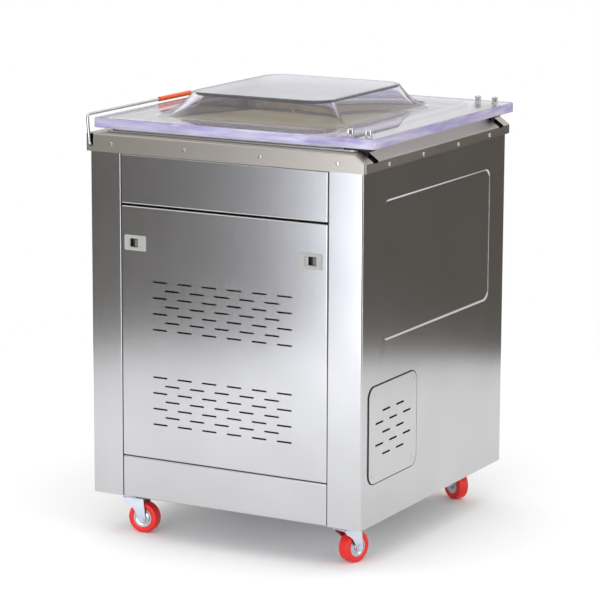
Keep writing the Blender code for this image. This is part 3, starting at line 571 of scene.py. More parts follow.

# each latch: a bezel with a window, the slide's cover behind it and a thumb hollow in the cover, its faces
# painted dark grey as shade
backY = -panel["halfY"] - 0.0003
frontY = backY - latch["flange"]
latchZ = latch["z"]
for side, outward in (("left", -1), ("right", 1)):
    middle = latch[side]
    bm = bmesh.new()
    outer = [addLoop(bm, (middle, y, latchZ), latch["halfX"] - inset, latch["halfZ"] - inset, 0.003 - inset,
                     frontal, 24)
             for y, inset in ((backY, 0.0), (frontY + 0.0005, 0.0), (frontY + 0.0001, 0.0003),
                              (frontY, 0.0008))]
    opening = [addLoop(bm, (middle, y, latchZ), latch["windowHalfX"] + outset, latch["windowHalfZ"] + outset,
                       0.0012 + outset, frontal, 24)
               for y, outset in ((frontY, 0.0005), (frontY + 0.0002, 0.0001), (frontY + 0.0005, 0.0),
                                 (backY, 0.0))]
    skin(bm, outer)
    fillFlat(bm, [outer[-1], opening[0]])
    skin(bm, opening)
    fillFlat(bm, [outer[0], opening[-1]])
    wallX, wallZ, wall = latch["wallX"], latch["wallZ"], latch["wall"]
    wallEndY = backY + latch["depth"]
    for hand in (-1, 1):
        lowX, highX = sorted((middle + hand * wallX, middle + hand * (wallX + wall)))
        addBox(bm, (lowX, backY, latchZ - wallZ - wall), (highX, wallEndY, latchZ + wallZ + wall))
        lowZ, highZ = sorted((latchZ + hand * wallZ, latchZ + hand * (wallZ + wall)))
        addBox(bm, (middle - wallX, backY, lowZ), (middle + wallX, wallEndY, highZ))
    settle(closedPiece(f"{side} latch bezel", bm, greyPlastic), "door", "latch_grey", f"latch_bezel_{side}")

    slideX = middle + outward * latch["slideOffset"]
    slideY = backY + 0.0003
    hollowX, hollowZ = latch["hollowHalfX"], latch["hollowHalfZ"]
    bm = bmesh.new()
    skin(bm, [addLoop(bm, (slideX, slideY + depth, latchZ), halfX, halfZ, radius, frontal, 24)
              for depth, halfX, halfZ, radius in (
                  (0.0125, latch["stemHalfX"], latch["stemHalfZ"], 0.001),
                  (0.0014, latch["stemHalfX"], latch["stemHalfZ"], 0.001),
                  (0.0014, latch["coverHalfX"], latch["coverHalfZ"], 0.001),
                  (0, latch["coverHalfX"], latch["coverHalfZ"], 0.001),
                  (0, hollowX + 0.0004, hollowZ + 0.0004, 0.0018), (0.0004, hollowX, hollowZ, 0.0015),
                  (latch["hollowDepth"], hollowX, hollowZ - 0.0004, 0.0015))], caps=True)
    slide = closedPiece(f"{side} latch slide", bm, greyPlastic)
    # the hollow's walls and floor take the dark grey: painted shade in the pocket, the slide itself is pale
    # grey
    slide.data.materials.append(pocketShadePlastic)
    for face in slide.data.polygons:
        x, y, z = face.center
        inShadedHollow = abs(x - slideX) < hollowX and abs(z - latchZ) < hollowZ + 0.0002
        if inShadedHollow and slideY + 0.0005 < y < slideY + latch["hollowDepth"] + 0.001:
            face.material_index = 1
    settle(slide, f"latch_slide_{side}", "latch_grey", f"latch_slide_{side}")
    bm = bmesh.new()
    addRoundBox(bm, (slideX + 0.0004, slideY + 0.0012, latchZ - 0.0078),
                (slideX + hollowX - 0.0003, slideY + latch["hollowDepth"] + 0.001, latchZ + 0.0076), 0.0012)
    thumb = closedPiece(f"{side} latch thumb block", bm, middlePlastic)
    settle(thumb, f"latch_slide_{side}", "latch_grey")
print("latches made")

rim = {"lowX": -0.3135, "highX": 0.3135, "halfY": 0.327, "top": 0.737, "low": 0.701, "chamferStart": 0.289,
       "chamferFoot": 0.720, "sheet": 0.0025, "corner": 0.006, "fold": 0.009, "armY": 0.283, "notchY": 0.3285}
chamferRun = (rim["highX"] - rim["chamferStart"]) / (rim["top"] - rim["chamferFoot"])
bm = bmesh.new()
rings = [addRing(bm, -0.256, 0.216, 0.253, 0.050, rim["top"])]
for inset, drop in ((0.0030, 0.0), (0.0019, 0.0003), (0.0009, 0.0009), (0.0003, 0.0019), (0.0, 0.0030)):
    rings.append(addRing(bm, rim["lowX"] + inset, rim["chamferStart"] + drop * chamferRun - 0.0004,
                         rim["halfY"] - inset, rim["corner"], rim["top"] - drop))
for highX, z in ((0.3118, 0.7210), (0.3130, 0.7197), (0.3135, 0.7185), (rim["highX"], rim["low"])):
    rings.append(addRing(bm, rim["lowX"], highX, rim["halfY"], rim["corner"], z))
fold = rim["fold"]
rings.append(addRing(bm, rim["lowX"] + fold, rim["highX"] - fold, rim["halfY"] - fold, 0.003, rim["low"]))
skin(bm, rings)
topRim = sheetPiece("top rim", bm, brushedTop, rim["sheet"], 0.60)
for side in sides.values():  # a slot for each hinge arm and a notch for each leg of the bail
    for spot, halfU, halfV, radius, turn, depth in (
            ((0.3045, side * rim["armY"], 0.7385), 0.0120, 0.0215, 0.0055, sideways, 0.051),
            ((-0.3010, side * rim["notchY"], 0.7360), 0.0056, 0.0253, 0.0054, frontal, 0.0143)):
        bm = bmesh.new()
        addPlug(bm, spot, halfU, halfV, radius, turn, depth, 24)
        punch(topRim, bm)
# the black on the slot walls and floors is painted shade, standing in for the dark inside of the hinge slots
topRim.data.materials.append(blackPaintAndSlotShade)
for face in topRim.data.polygons:  # the slots' walls and floors are painted black as shade inside the slots
    x, y, z = face.center
    inShadedSlot = abs(abs(y) - rim["armY"]) < 0.0125 and x > 0.279 and z > 0.7165
    if inShadedSlot and (abs(face.normal.y) > 0.4 or face.normal.z > 0.95 and z < 0.7195):
        face.material_index = 1
for name, side in sides.items():
    bm = bmesh.new()
    y = side * rim["armY"]
    addRoundBox(bm, (0.104, y - 0.004, 0.655), (0.118, y + 0.004, 0.736), 0.001, 2)
    settle(closedPiece(f"{name} spring lug", bm, brushedTop), "cabinet", "top_steel")
easeEdges(topRim, 0.0003)
settle(topRim, "cabinet", "top_steel", "top_rim")

screwHead = {"radius": 0.0042, "height": 0.0021, "rimZ": 0.718, "chamferSideZ": 0.7085}
spots = []
for x in (-0.254, -0.085, 0.085, 0.254):
    spots += [((x, side * rim["halfY"], screwHead["rimZ"]), (0, side, 0)) for side in sides.values()]
for y in (-0.226, -0.079, 0.079, 0.226):
    spots.append(((rim["highX"], y, screwHead["chamferSideZ"]), (1, 0, 0)))
for y, z in ((-0.273, 0.261), (-0.106, 0.262), (-0.275, 0.100), (-0.103, 0.101)):
    spots.append(((vent["x"], y, z), (1, 0, 0)))
bm = bmesh.new()
for centre, axis in spots:
    addPanHead(bm, centre, axis, screwHead["radius"], screwHead["height"])
settle(closedPiece("rim and vent screws", bm, turnedSteel), "cabinet", "turned_steel")
print("top rim made")

pan = {"lowX": -0.250, "highX": 0.210, "halfY": 0.247, "floor": 0.641, "deck": 0.741, "fillet": 0.010,
       "corner": 0.045, "sheet": 0.0033, "rodX": (-0.150, 0.110), "rodHole": 0.0054}
barY = 0.230
bm = bmesh.new()
rings = []
for step in range(7):
    angle = math.pi / 2 * step / 6
    inset = pan["fillet"] * (1 - math.sin(angle))
    rings.append(addRing(bm, pan["lowX"] + inset, pan["highX"] - inset, pan["halfY"] - inset,
                         pan["corner"] - inset, pan["floor"] + pan["fillet"] * (1 - math.cos(angle)), 48))
for outset, drop in ((0.0, 0.0040), (0.0012, 0.0012), (0.0040, 0.0)):
    rings.append(addRing(bm, pan["lowX"] - outset, pan["highX"] + outset, pan["halfY"] + outset,
                         pan["corner"] + outset, pan["deck"] - drop, 48))
rings.append(addRing(bm, -0.289, 0.289, 0.302, 0.022, pan["deck"], 48))
skin(bm, rings)
cap(bm, rings[0])
chamber = sheetPiece("chamber pan", bm, polishedChamber, pan["sheet"], 0.50)
bm = bmesh.new()
for side in sides.values():
    addPlug(bm, (0.2735, side * rim["armY"], pan["deck"]), 0.0265, 0.014, 0.003, level, 0.030)
    for x in pan["rodX"]:
        addRod(bm, (x, side * barY, 0.62), (x, side * barY, 0.66), pan["rodHole"])
punch(chamber, bm)
easeEdges(chamber, 0.0004)
settle(chamber, "cabinet", "chamber_steel", "chamber_pan")

gasket = {"width": 0.014, "low": 0.7413, "height": 0.0054,
          "section": ((0.0, 0.30), (0.0, 0.70), (0.12, 1.0), (0.88, 1.0), (1.0, 0.70), (1.0, 0.30),
                      (0.88, 0.0), (0.12, 0.0))}
bm = bmesh.new()
rings = []
for across, up in gasket["section"]:
    inset = gasket["width"] * (1 - across)
    rings.append(addRing(bm, -0.284 + inset, 0.243 - inset, 0.297 - inset, 0.034 - inset,
                         gasket["low"] + gasket["height"] * up, 48))
skin(bm, rings, closed=True)
settle(closedPiece("lid gasket", bm, paleSilicone, 50), "cabinet", "lid_edge_silicone", "lid_gasket")

bm = bmesh.new()
addRoundBox(bm, (-0.235, -0.205, 0.6413), (0.195, 0.205, 0.686), 0.003)
settle(closedPiece("filler board", bm, boardPlastic), "cabinet", "board_plastic", "filler_board")

sealBar = {"lowX": -0.215, "highX": 0.175, "halfWidth": 0.007, "low": 0.701, "top": 0.7245, "rod": 0.0049}


def addStrip(bm, lineY, halfWidth, low, top, radius, inset=0.0, segments=2):  # as long as a sealing bar
    addRoundBox(bm, (sealBar["lowX"] + inset, lineY - halfWidth, low),
                (sealBar["highX"] - inset, lineY + halfWidth, top), radius, segments)


# on each side a carrier on two lift rods, its wire under tape, and a counter bar in the lid
for name, side in sides.items():
    lineY = side * barY
    bm = bmesh.new()
    addStrip(bm, lineY, sealBar["halfWidth"], sealBar["low"], sealBar["top"], 0.0008)
    for x in pan["rodX"]:
        addRod(bm, (x, lineY, 0.615), (x, lineY, 0.703), sealBar["rod"])
    carrier = closedPiece(f"{name} seal bar", bm, khakiBoard)
    settle(carrier, f"seal_bar_{name}", "seal_bar_phenolic", f"seal_bar_{name}")
    bm = bmesh.new()
    addStrip(bm, lineY, 0.0045, 0.7243, 0.7262, 0.0008, 0.001)
    addStrip(bm, lineY, 0.0016, 0.7258, 0.7269, 0.0005, 0.001)
    settle(closedPiece(f"{name} sealing tape", bm, greyPlastic), f"seal_bar_{name}", "seal_bar_phenolic")
    bm = bmesh.new()
    addStrip(bm, lineY, 0.006, 0.737, 0.7467, 0.0008)
    addStrip(bm, lineY, 0.004, 0.735, 0.7375, 0.001, segments=3)
    counter = closedPiece(f"{name} counter bar", bm, paleSilicone)
    settle(counter, "lid", "lid_edge_silicone", f"counter_bar_{name}")
print("chamber made")

lid = {"lowX": -0.3005, "highX": 0.325, "halfY": 0.317, "low": 0.747, "top": 0.767, "rise": 0.045,
       "steps": 28, "ease": 0.0016, "screwX": {"inner": 0.259, "outer": 0.2975}}


def domeRing(bm, s, inner):  # s runs from the dome's crown, 0, to the foot of its flare, 1
    if inner:
        return addRing(bm, -0.162 - 0.065 * s, 0.137 + 0.050 * s, 0.173 + 0.062 * s, 0.038 + 0.034 * s,
                       lid["low"] + (lid["rise"] + 0.010) * (1 - s) ** 1.6, 64)
    return addRing(bm, -0.170 - 0.070 * s, 0.145 + 0.055 * s, 0.180 + 0.070 * s, 0.045 + 0.045 * s,
                   lid["top"] + lid["rise"] * (1 - s) ** 2.2, 64)


bm = bmesh.new()
rings = [addRing(bm, -0.168, 0.143, 0.178, 0.043, lid["top"] + lid["rise"], 64)]
rings += [domeRing(bm, max(0.012, step / lid["steps"]), False) for step in range(lid["steps"] + 1)]
ease = lid["ease"]
for inset, z in ((ease, lid["top"]), (ease * 0.3, lid["top"] - ease * 0.3), (0, lid["top"] - ease),
                 (0, lid["low"] + ease), (ease * 0.3, lid["low"] + ease * 0.3), (ease, lid["low"])):
    rings.append(addRing(bm, lid["lowX"] + inset, lid["highX"] - inset, lid["halfY"] - inset, 0.005, z, 64))
rings += [domeRing(bm, 1 - step / lid["steps"], True) for step in range(lid["steps"] + 1)]
skin(bm, rings, caps=True)
lidShell = closedPiece("domed lid", bm, clearAcrylic, 30)
screwSpots = [(f"lid_screw_{name}_{place}", x, side * rim["armY"])
              for name, side in sides.items() for place, x in lid["screwX"].items()]
bm = bmesh.new()
for node, x, y in screwSpots:
    addRod(bm, (x, y, 0.73), (x, y, 0.79), 0.0034)
punch(lidShell, bm)
lidShell.data.materials.append(acrylicEdge)
for face in lidShell.data.polygons:
    x, y, z = face.center
    onEdge = abs(y) > lid["halfY"] - 0.004 or x < lid["lowX"] + 0.004 or x > lid["highX"] - 0.004
    if onEdge and abs(face.normal.z) < 0.9:
        face.material_index = 1
settle(lidShell, "lid", "clear_acrylic", "lid_dome")

screw = {"washerZ": 0.7673, "shank": 0.0030, "knurls": 44, "knurlDepth": 0.07}
washerProfile = [(0.0030, 0.0018), (0.0070, 0.0018), (0.0075, 0.0013), (0.0075, 0.0004), (0.0071, 0.0),
                 (0.0030, 0.0)]
headProfile = [(0.0057, 0.0019), (0.0063, 0.0027), (0.0063, 0.0105), (0.0059, 0.0117), (0.0050, 0.0125),
               (0.0027, 0.0125), (0.0025, 0.0120), (0.0025, 0.0080)]
for node, x, y in screwSpots:
    bm = bmesh.new()
    spinProfile(bm, washerProfile, (x, y, screw["washerZ"]), (0, 0, 1), 32, True)
    rings = []
    for radius, up in headProfile:
        loop = addLoop(bm, (x, y, screw["washerZ"] + up), radius, radius, radius, level, screw["knurls"] * 2)
        for vert in loop[::2] if up < 0.0117 and radius > 0.005 else ():  # every second vertex is sunk
            vert.co.x += (x - vert.co.x) * screw["knurlDepth"]
            vert.co.y += (y - vert.co.y) * screw["knurlDepth"]
        rings.append(loop)
    skin(bm, rings, caps=True)
    addRod(bm, (x, y, 0.7407), (x, y, screw["washerZ"] + 0.001), screw["shank"])
    settle(closedPiece(node.replace("_", " "), bm, turnedSteel, 25), "lid", "turned_steel", node)
print("lid made")

hinge = {"x": 0.290, "z": 0.705, "bore": 0.0083, "quadrant": 0.0203, "quadrantBack": 0.010,
         "quadrantHalf": 0.0110, "bearingY": (0.243, 0.267), "springZ": 0.666, "coilRadius": 0.0078,
         "coilWire": 0.0011, "coilTurns": 46, "coilStep": 14}
bore = hinge["bore"]
for name, side in sides.items():
    y = side * rim["armY"]
    bm = bmesh.new()  # a pad under the lid, a plate down to the spring, a boss on the shaft, a quadrant
    addRoundBox(bm, (0.249, y - 0.0115, 0.7387), (0.306, y + 0.0115, 0.7467), 0.0012)
    addRoundBox(bm, (0.285, y - 0.006, 0.660), (0.295, y + 0.006, 0.7395), 0.0012)
    spinProfile(bm, [(bore, 0.007), (0.012, 0.007), (0.013, 0.006), (0.013, -0.006), (0.012, -0.007),
                     (bore, -0.007)], (hinge["x"], y, hinge["z"]), (0, 1, 0), 40, True)
    outline = arcPoints(hinge["x"], hinge["z"], hinge["quadrant"], range(42, 115, 6))
    outline += arcPoints(hinge["x"], hinge["z"], hinge["quadrantBack"], (114, 78, 42))
    addPlate(bm, outline, y - hinge["quadrantHalf"], 2 * hinge["quadrantHalf"])
    settle(closedPiece(f"{name} hinge arm", bm, blackPaintAndSlotShade), "lid", "hinge_black", f"hinge_arm_{name}")

    bm = bmesh.new()
    lowY, highY = sorted(side * y for y in hinge["bearingY"])
    addRoundBox(bm, (0.272, lowY, 0.688), (0.3042, highY, 0.722), 0.003)
    for outerY, outward in ((lowY, -1), (highY, 1)):
        spinProfile(bm, [(bore, 0.0), (0.0125, 0.0), (0.0125, -0.0006), (bore, -0.0006)],
                    (hinge["x"], outerY, hinge["z"]), (0, outward, 0), 32, True)
    bearing = closedPiece(f"{name} hinge bearing", bm, castIron)
    settle(bearing, "cabinet", "cast_bearing", f"hinge_bearing_{name}")

    points = []
    lowX, highX = 0.1183 + hinge["coilWire"], 0.2847 - hinge["coilWire"]
    count = hinge["coilTurns"] * hinge["coilStep"]
    for step in range(count + 1):
        angle = 2 * math.pi * step / hinge["coilStep"]
        points.append((lowX + (highX - lowX) * step / count, y + hinge["coilRadius"] * math.cos(angle),
                       hinge["springZ"] + hinge["coilRadius"] * math.sin(angle)))
    coil = closedPiece(f"{name} lid spring", tubeMesh(points, hinge["coilWire"], 1), turnedSteel)
    coil.data.transform(Matrix.Translation((0, 0, castorHeight)))
    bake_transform(coil)
    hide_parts(f"lid_spring_{name}")

bm = bmesh.new()
spinProfile(bm, [(0, 0.2935), (0.0074, 0.2935), (0.008, 0.2929), (0.008, -0.2929), (0.0074, -0.2935),
                 (0, -0.2935)], (hinge["x"], 0, hinge["z"]), (0, 1, 0), 40)
settle(closedPiece("hinge shaft", bm, turnedSteel), "lid", "turned_steel", "hinge_shaft")

bail = {"pivotX": -0.301, "pivotZ": 0.715, "barX": -0.3059, "barZ": 0.774, "legY": 0.331, "stub": 0.3205,
        "bend": 0.006, "radius": 0.003, "gripHalf": 0.0625, "gripY": 0.0025}
corners = [(bail["pivotX"], -y, bail["pivotZ"]) for y in (bail["stub"], bail["legY"])]
corners += [(bail["barX"], side * bail["legY"], bail["barZ"]) for side in (-1, 1)]
corners += [(bail["pivotX"], y, bail["pivotZ"]) for y in (bail["legY"], bail["stub"])]
wire = closedPiece("bail wire", tubeMesh(roundedPath(corners, bail["bend"]), bail["radius"]), turnedSteel, 50)
settle(wire, "bail", "turned_steel", "bail_wire")
half = bail["gripHalf"]
bm = bmesh.new()
spinProfile(bm, [(0.0033, half), (0.0045, half), (0.0050, half - 0.0005), (0.0050, 0.0005 - half),
                 (0.0045, -half), (0.0033, -half)], (bail["barX"], bail["gripY"], bail["barZ"]),
            (0, 1, 0), 40, True)
settle(closedPiece("bail grip", bm, orangePlastic), "bail", "orange_grip", "bail_grip")
print("hinge and bail made")

control = {"face": -0.3063, "thick": 0.0027, "halfY": 0.160, "halfZ": 0.048, "corner": 0.006, "ease": 0.0006,
           "keyHalf": (0.014, 0.007), "keyPitch": (0.036, 0.022), "windowY": (-0.066, 0.034),
           "windowUp": (0.010, 0.036)}
plateX = control["face"] - control["thick"]
portZ = port["z"]
bm = bmesh.new()
levels = []
for inset, x in ((0, control["face"]), (0, plateX + control["ease"]), (control["ease"], plateX)):
    levels.append([addLoop(bm, (x, 0, portZ), control["halfY"] - inset, control["halfZ"] - inset,
                           control["corner"] - inset, sideways, 32),
                   addLoop(bm, (x, *gaugeHole[:2]), *gaugeHole[2:5], sideways, 40),
                   addLoop(bm, (x, *stopHole[:2]), *stopHole[2:5], sideways, 24)])
for loops in zip(*levels):
    skin(bm, list(loops))
fillFlat(bm, levels[0])
fillFlat(bm, levels[-1])
settle(closedPiece("control plate", bm, blackPaintAndSlotShade), "cabinet", "control_black", "control_plate")

bm = bmesh.new()
halfY, halfZ = control["keyHalf"]
for row in range(2):
    for column in range(3):
        keyY = 0.020 - column * control["keyPitch"][0]
        keyZ = portZ - 0.010 - row * control["keyPitch"][1]
        addRoundBox(bm, (plateX - 0.0006, keyY - halfY, keyZ - halfZ),
                    (plateX + 0.0004, keyY + halfY, keyZ + halfZ), 0.0004, 2)
settle(closedPiece("membrane keys", bm, membraneKey), "cabinet", "control_black")
(lowY, highY), (lowUp, highUp) = control["windowY"], control["windowUp"]
bm = bmesh.new()
addRoundBox(bm, (plateX - 0.0005, lowY, portZ + lowUp), (plateX + 0.0004, highY, portZ + highUp), 0.0004, 2)
settle(closedPiece("display window", bm, darkWindow), "cabinet", "control_black")

gauge = {"x": plateX - 0.0003, "cardRadius": 0.0289, "cardTop": 0.0045, "glassRadius": 0.0288,
         "scaleRadius": 0.0262, "needleLift": 0.0065, "needleTip": 0.022}
gaugeCentre = (gauge["x"], port["gaugeY"], portZ)
bm = bmesh.new()
spinProfile(bm, [(0, 0.0028), (0.0290, 0.0028), (0.0290, 0.0108), (0.0296, 0.0118), (0.0306, 0.0120),
                 (0.0316, 0.0114), (0.0320, 0.0100), (0.0320, 0.0), (0.0265, 0.0), (0.0265, -0.026),
                 (0, -0.026)], gaugeCentre, (-1, 0, 0), 64)
settle(closedPiece("vacuum gauge case", bm, turnedSteel), "cabinet", "gauge_white", "vacuum_gauge")


def addDisc(bm, radius, low, top, segments):  # a disc in the gauge's case
    spinProfile(bm, [(0, top), (radius, top), (radius, low), (0, low)], gaugeCentre, (-1, 0, 0), segments)


bm = bmesh.new()
addDisc(bm, gauge["cardRadius"], 0.0030, gauge["cardTop"], 64)
settle(closedPiece("gauge dial", bm, dialCard), "cabinet", "gauge_white")
bm = bmesh.new()
for tick in range(31):
    angle = math.radians(-135 + tick * 9)
    length, half = (0.0046, 0.0004) if tick % 5 == 0 else (0.0026, 0.0002)
    outward = Vector((0, math.sin(angle), math.cos(angle)))
    middle = Vector((gauge["x"] - gauge["cardTop"] - 0.0001, port["gaugeY"], portZ))
    start = middle + outward * gauge["scaleRadius"]
    addRod(bm, start, start - outward * length, half, 6)
settle(closedPiece("gauge scale", bm, blackPaintAndSlotShade), "cabinet", "gauge_white")
bm = bmesh.new()
addDisc(bm, gauge["glassRadius"], 0.0096, 0.0108, 48)
settle(closedPiece("gauge glass", bm, flatGlass), "cabinet", "gauge_white")

bm = bmesh.new()
addRod(bm, (0, 0, -0.006), (0, 0, gauge["needleTip"]), 0.0010, 12, 0.0003)
spinProfile(bm, [(0, 0.001), (0.0026, 0.001), (0.003, 0.0006), (0.003, -0.001), (0, -0.001)], (0, 0, 0),
            (-1, 0, 0), 24)
flat = Matrix.Diagonal((0.5, 1, 1, 1))
atRest = Matrix.Rotation(math.radians(135), 4, "X")
bm.transform(Matrix.Translation((gauge["x"] - gauge["needleLift"], port["gaugeY"], portZ)) @ atRest @ flat)
settle(closedPiece("gauge needle", bm, blackPaintAndSlotShade), "gauge_needle", "control_black", "gauge_needle")

bm = bmesh.new()
spinProfile(bm, [(0, 0.0160), (0.0110, 0.0158), (0.0150, 0.0150), (0.0174, 0.0134), (0.0180, 0.0115),
                 (0.0178, 0.0085), (0.0165, 0.0070), (0.0150, 0.0062), (0.0083, 0.0062), (0.0083, -0.020),
                 (0, -0.020)], (plateX, port["stopY"], portZ), (-1, 0, 0), 48)
settle(closedPiece("stop button", bm, redPlastic, 50), "stop_button", "stop_red", "stop_button")

bm = bmesh.new()
spinProfile(bm, [(0.0045, 0.011), (0.0072, 0.011), (0.0082, 0.0102), (0.0086, 0.0070), (0.0105, 0.0065),
                 (0.0105, 0.0), (0.0045, 0.0)], (-0.180, 0.3213, 0.060), (0, 1, 0), 36, True)
settle(closedPiece("mains inlet gland", bm, blackPaintAndSlotShade), "cabinet", "control_black", "mains_inlet")
print("controls made")

motor = {"lowX": -0.200, "axisZ": 0.112, "fins": 28, "finX": (-0.170, -0.040), "finReach": (0.060, 0.0695),
         "footLow": 0.0303}
bm = bmesh.new()
spinProfile(bm, [(0, 0.205), (0.040, 0.205), (0.050, 0.203), (0.066, 0.194), (0.070, 0.188), (0.070, 0.165),
                 (0.064, 0.162), (0.064, 0.030), (0.070, 0.027), (0.070, 0.008), (0.062, 0.0), (0, 0)],
            (motor["lowX"], 0, motor["axisZ"]), (1, 0, 0), 48)
for fin in range(motor["fins"]):
    turn = Matrix.Rotation(2 * math.pi * fin / motor["fins"], 3, "X")
    made = addBox(bm, (motor["finX"][0], -0.0012, motor["finReach"][0]),
                  (motor["finX"][1], 0.0012, motor["finReach"][1]))
    bmesh.ops.rotate(bm, verts=made, cent=(0, 0, 0), matrix=turn)
    bmesh.ops.translate(bm, verts=made, vec=(0, 0, motor["axisZ"]))
addRoundBox(bm, (-0.150, -0.095, motor["footLow"]), (-0.060, 0.095, 0.042), 0.002)
addRoundBox(bm, (-0.135, -0.060, 0.040), (-0.075, 0.060, 0.062), 0.002)
settle(closedPiece("pump motor", bm, pumpEnamel), "cabinet", "pump_enamel", "pump_motor")

bm = bmesh.new()  # the pump's block, its exhaust filter and its suction port
addRoundBox(bm, (0.006, -0.090, motor["footLow"]), (0.180, 0.090, 0.190), 0.008, 4)
spinProfile(bm, [(0, 0.250), (0.036, 0.250), (0.040, 0.246), (0.040, 0.198), (0.034, 0.192), (0.034, 0.185),
                 (0, 0.185)], (0.130, 0, 0), (0, 0, 1), 48)
spinProfile(bm, [(0, 0.215), (0.013, 0.215), (0.013, 0.203), (0.018, 0.201), (0.018, 0.185), (0, 0.185)],
            (0.050, 0, 0), (0, 0, 1), 36)
settle(closedPiece("vacuum pump", bm, pumpEnamel), "cabinet", "pump_enamel", "vacuum_pump")

valve = {"y": 0.100, "half": 0.025, "height": 0.070, "top": pan["floor"] - pan["sheet"] - 0.0003}
valveLow = valve["top"] - valve["height"]
bm = bmesh.new()
addRoundBox(bm, (-valve["half"], valve["y"] - valve["half"], valveLow),
            (valve["half"], valve["y"] + valve["half"], valve["top"]), 0.003)
spinProfile(bm, [(0, 0.060), (0.016, 0.060), (0.018, 0.057), (0.018, 0.020), (0, 0.020)],
            (0, valve["y"], valve["top"] - 0.030), (1, 0, 0), 32)
settle(closedPiece("solenoid valve", bm, whitePlastic), "cabinet", "valve_white", "solenoid_valve")

hose = {"start": (0.050, 0, 0.2165), "end": (0, valve["y"], valveLow - 0.0015), "radius": 0.012, "pull": 0.48,
        "steps": 40}
points = []
for step in range(hose["steps"] + 1):  # leaves both ports upright and eases over from one to the other
    s = step / hose["steps"]
    lower = Vector(hose["start"]) + Vector((0, 0, hose["pull"] * s))
    upper = Vector(hose["end"]) - Vector((0, 0, hose["pull"] * (1 - s)))
    points.append(lower.lerp(upper, s * s * (3 - 2 * s)))
tube = closedPiece("suction hose", tubeMesh(points, hose["radius"]), hoseRubberAndSeamShade, 50)
settle(tube, "cabinet", "hose_rubber", "suction_hose")

core = {"x": (-0.240, -0.212, -0.148, -0.120), "y": (0.125, 0.235), "z": (0.0033, 0.022, 0.082, 0.100)}
lowY, highY = core["y"]
outerX, innerX, innerEndX, outerEndX = core["x"]
lowZ, yokeTop, yokeLow, highZ = core["z"]
bm = bmesh.new()
for startX, startZ, endX, endZ in ((outerX, lowZ, innerX, highZ), (innerEndX, lowZ, outerEndX, highZ),
                                   (innerX, lowZ, innerEndX, yokeTop), (innerX, yokeLow, innerEndX, highZ)):
    addRoundBox(bm, (startX, lowY, startZ), (endX, highY, endZ), 0.0008, 2)
settle(closedPiece("transformer core", bm, laminatedIron), "cabinet", "transformer_iron", "transformer")
bm = bmesh.new()
addRoundBox(bm, (-0.2105, 0.116, 0.0225), (-0.1495, 0.244, 0.0815), 0.006, 4)
settle(closedPiece("transformer winding", bm, copperWinding), "cabinet", "transformer_iron")
print("inner parts made")

castor = {"x": 0.244, "y": 0.268, "trail": 0.025, "wheel": 0.03175, "plateTop": -0.0003,
          "plateLow": -0.0028, "plateHalf": (0.035, 0.0275), "boltX": 0.0265, "boltY": 0.0205,
          "crown": -0.0135, "forkHalf": 0.0175, "forkSheet": 0.0025, "axleEye": 0.009}
headings = {"near_operator": (-1, -1, 0.105), "near_hinge": (1, -1, 1.269),
            "far_hinge": (1, 1, 2.600), "far_operator": (-1, 1, -1.050)}  # corner, and which way it trails
swivelProfile = [(0, -0.0031), (0.0180, -0.0031), (0.0210, -0.0035), (0.0240, -0.0050), (0.0254, -0.0070),
                 (0.0254, -0.0090), (0.0235, -0.0112), (0.0210, -0.0120), (0.0200, -0.0135),
                 (0.0100, -0.0145), (0, -0.0145)]
hubProfile = [(0.0043, 0.0135), (0.0080, 0.0135), (0.0086, 0.0129), (0.0092, 0.0105), (0.0135, 0.0090),
              (0.0168, 0.0100), (0.0172, 0.0115), (0.0195, 0.0115)]
treadProfile = [(0.0198, 0.0112), (0.0215, 0.0122), (0.0250, 0.0125)]
for step in range(9):
    angle = math.pi / 2 * step / 8
    treadProfile.append((0.0273 + 0.0044 * math.sin(angle), 0.0081 + 0.0044 * math.cos(angle)))
axleX, axleZ = castor["trail"], castor["wheel"] - castorHeight
plateLow, forkHalf = castor["plateLow"], castor["forkHalf"]
boltSpots = [(x, y) for x in (-castor["boltX"], castor["boltX"]) for y in (-castor["boltY"], castor["boltY"])]


def mirrored(profile):  # a wheel's profile on both sides of its middle
    return profile + [(radius, -along) for radius, along in reversed(profile)]


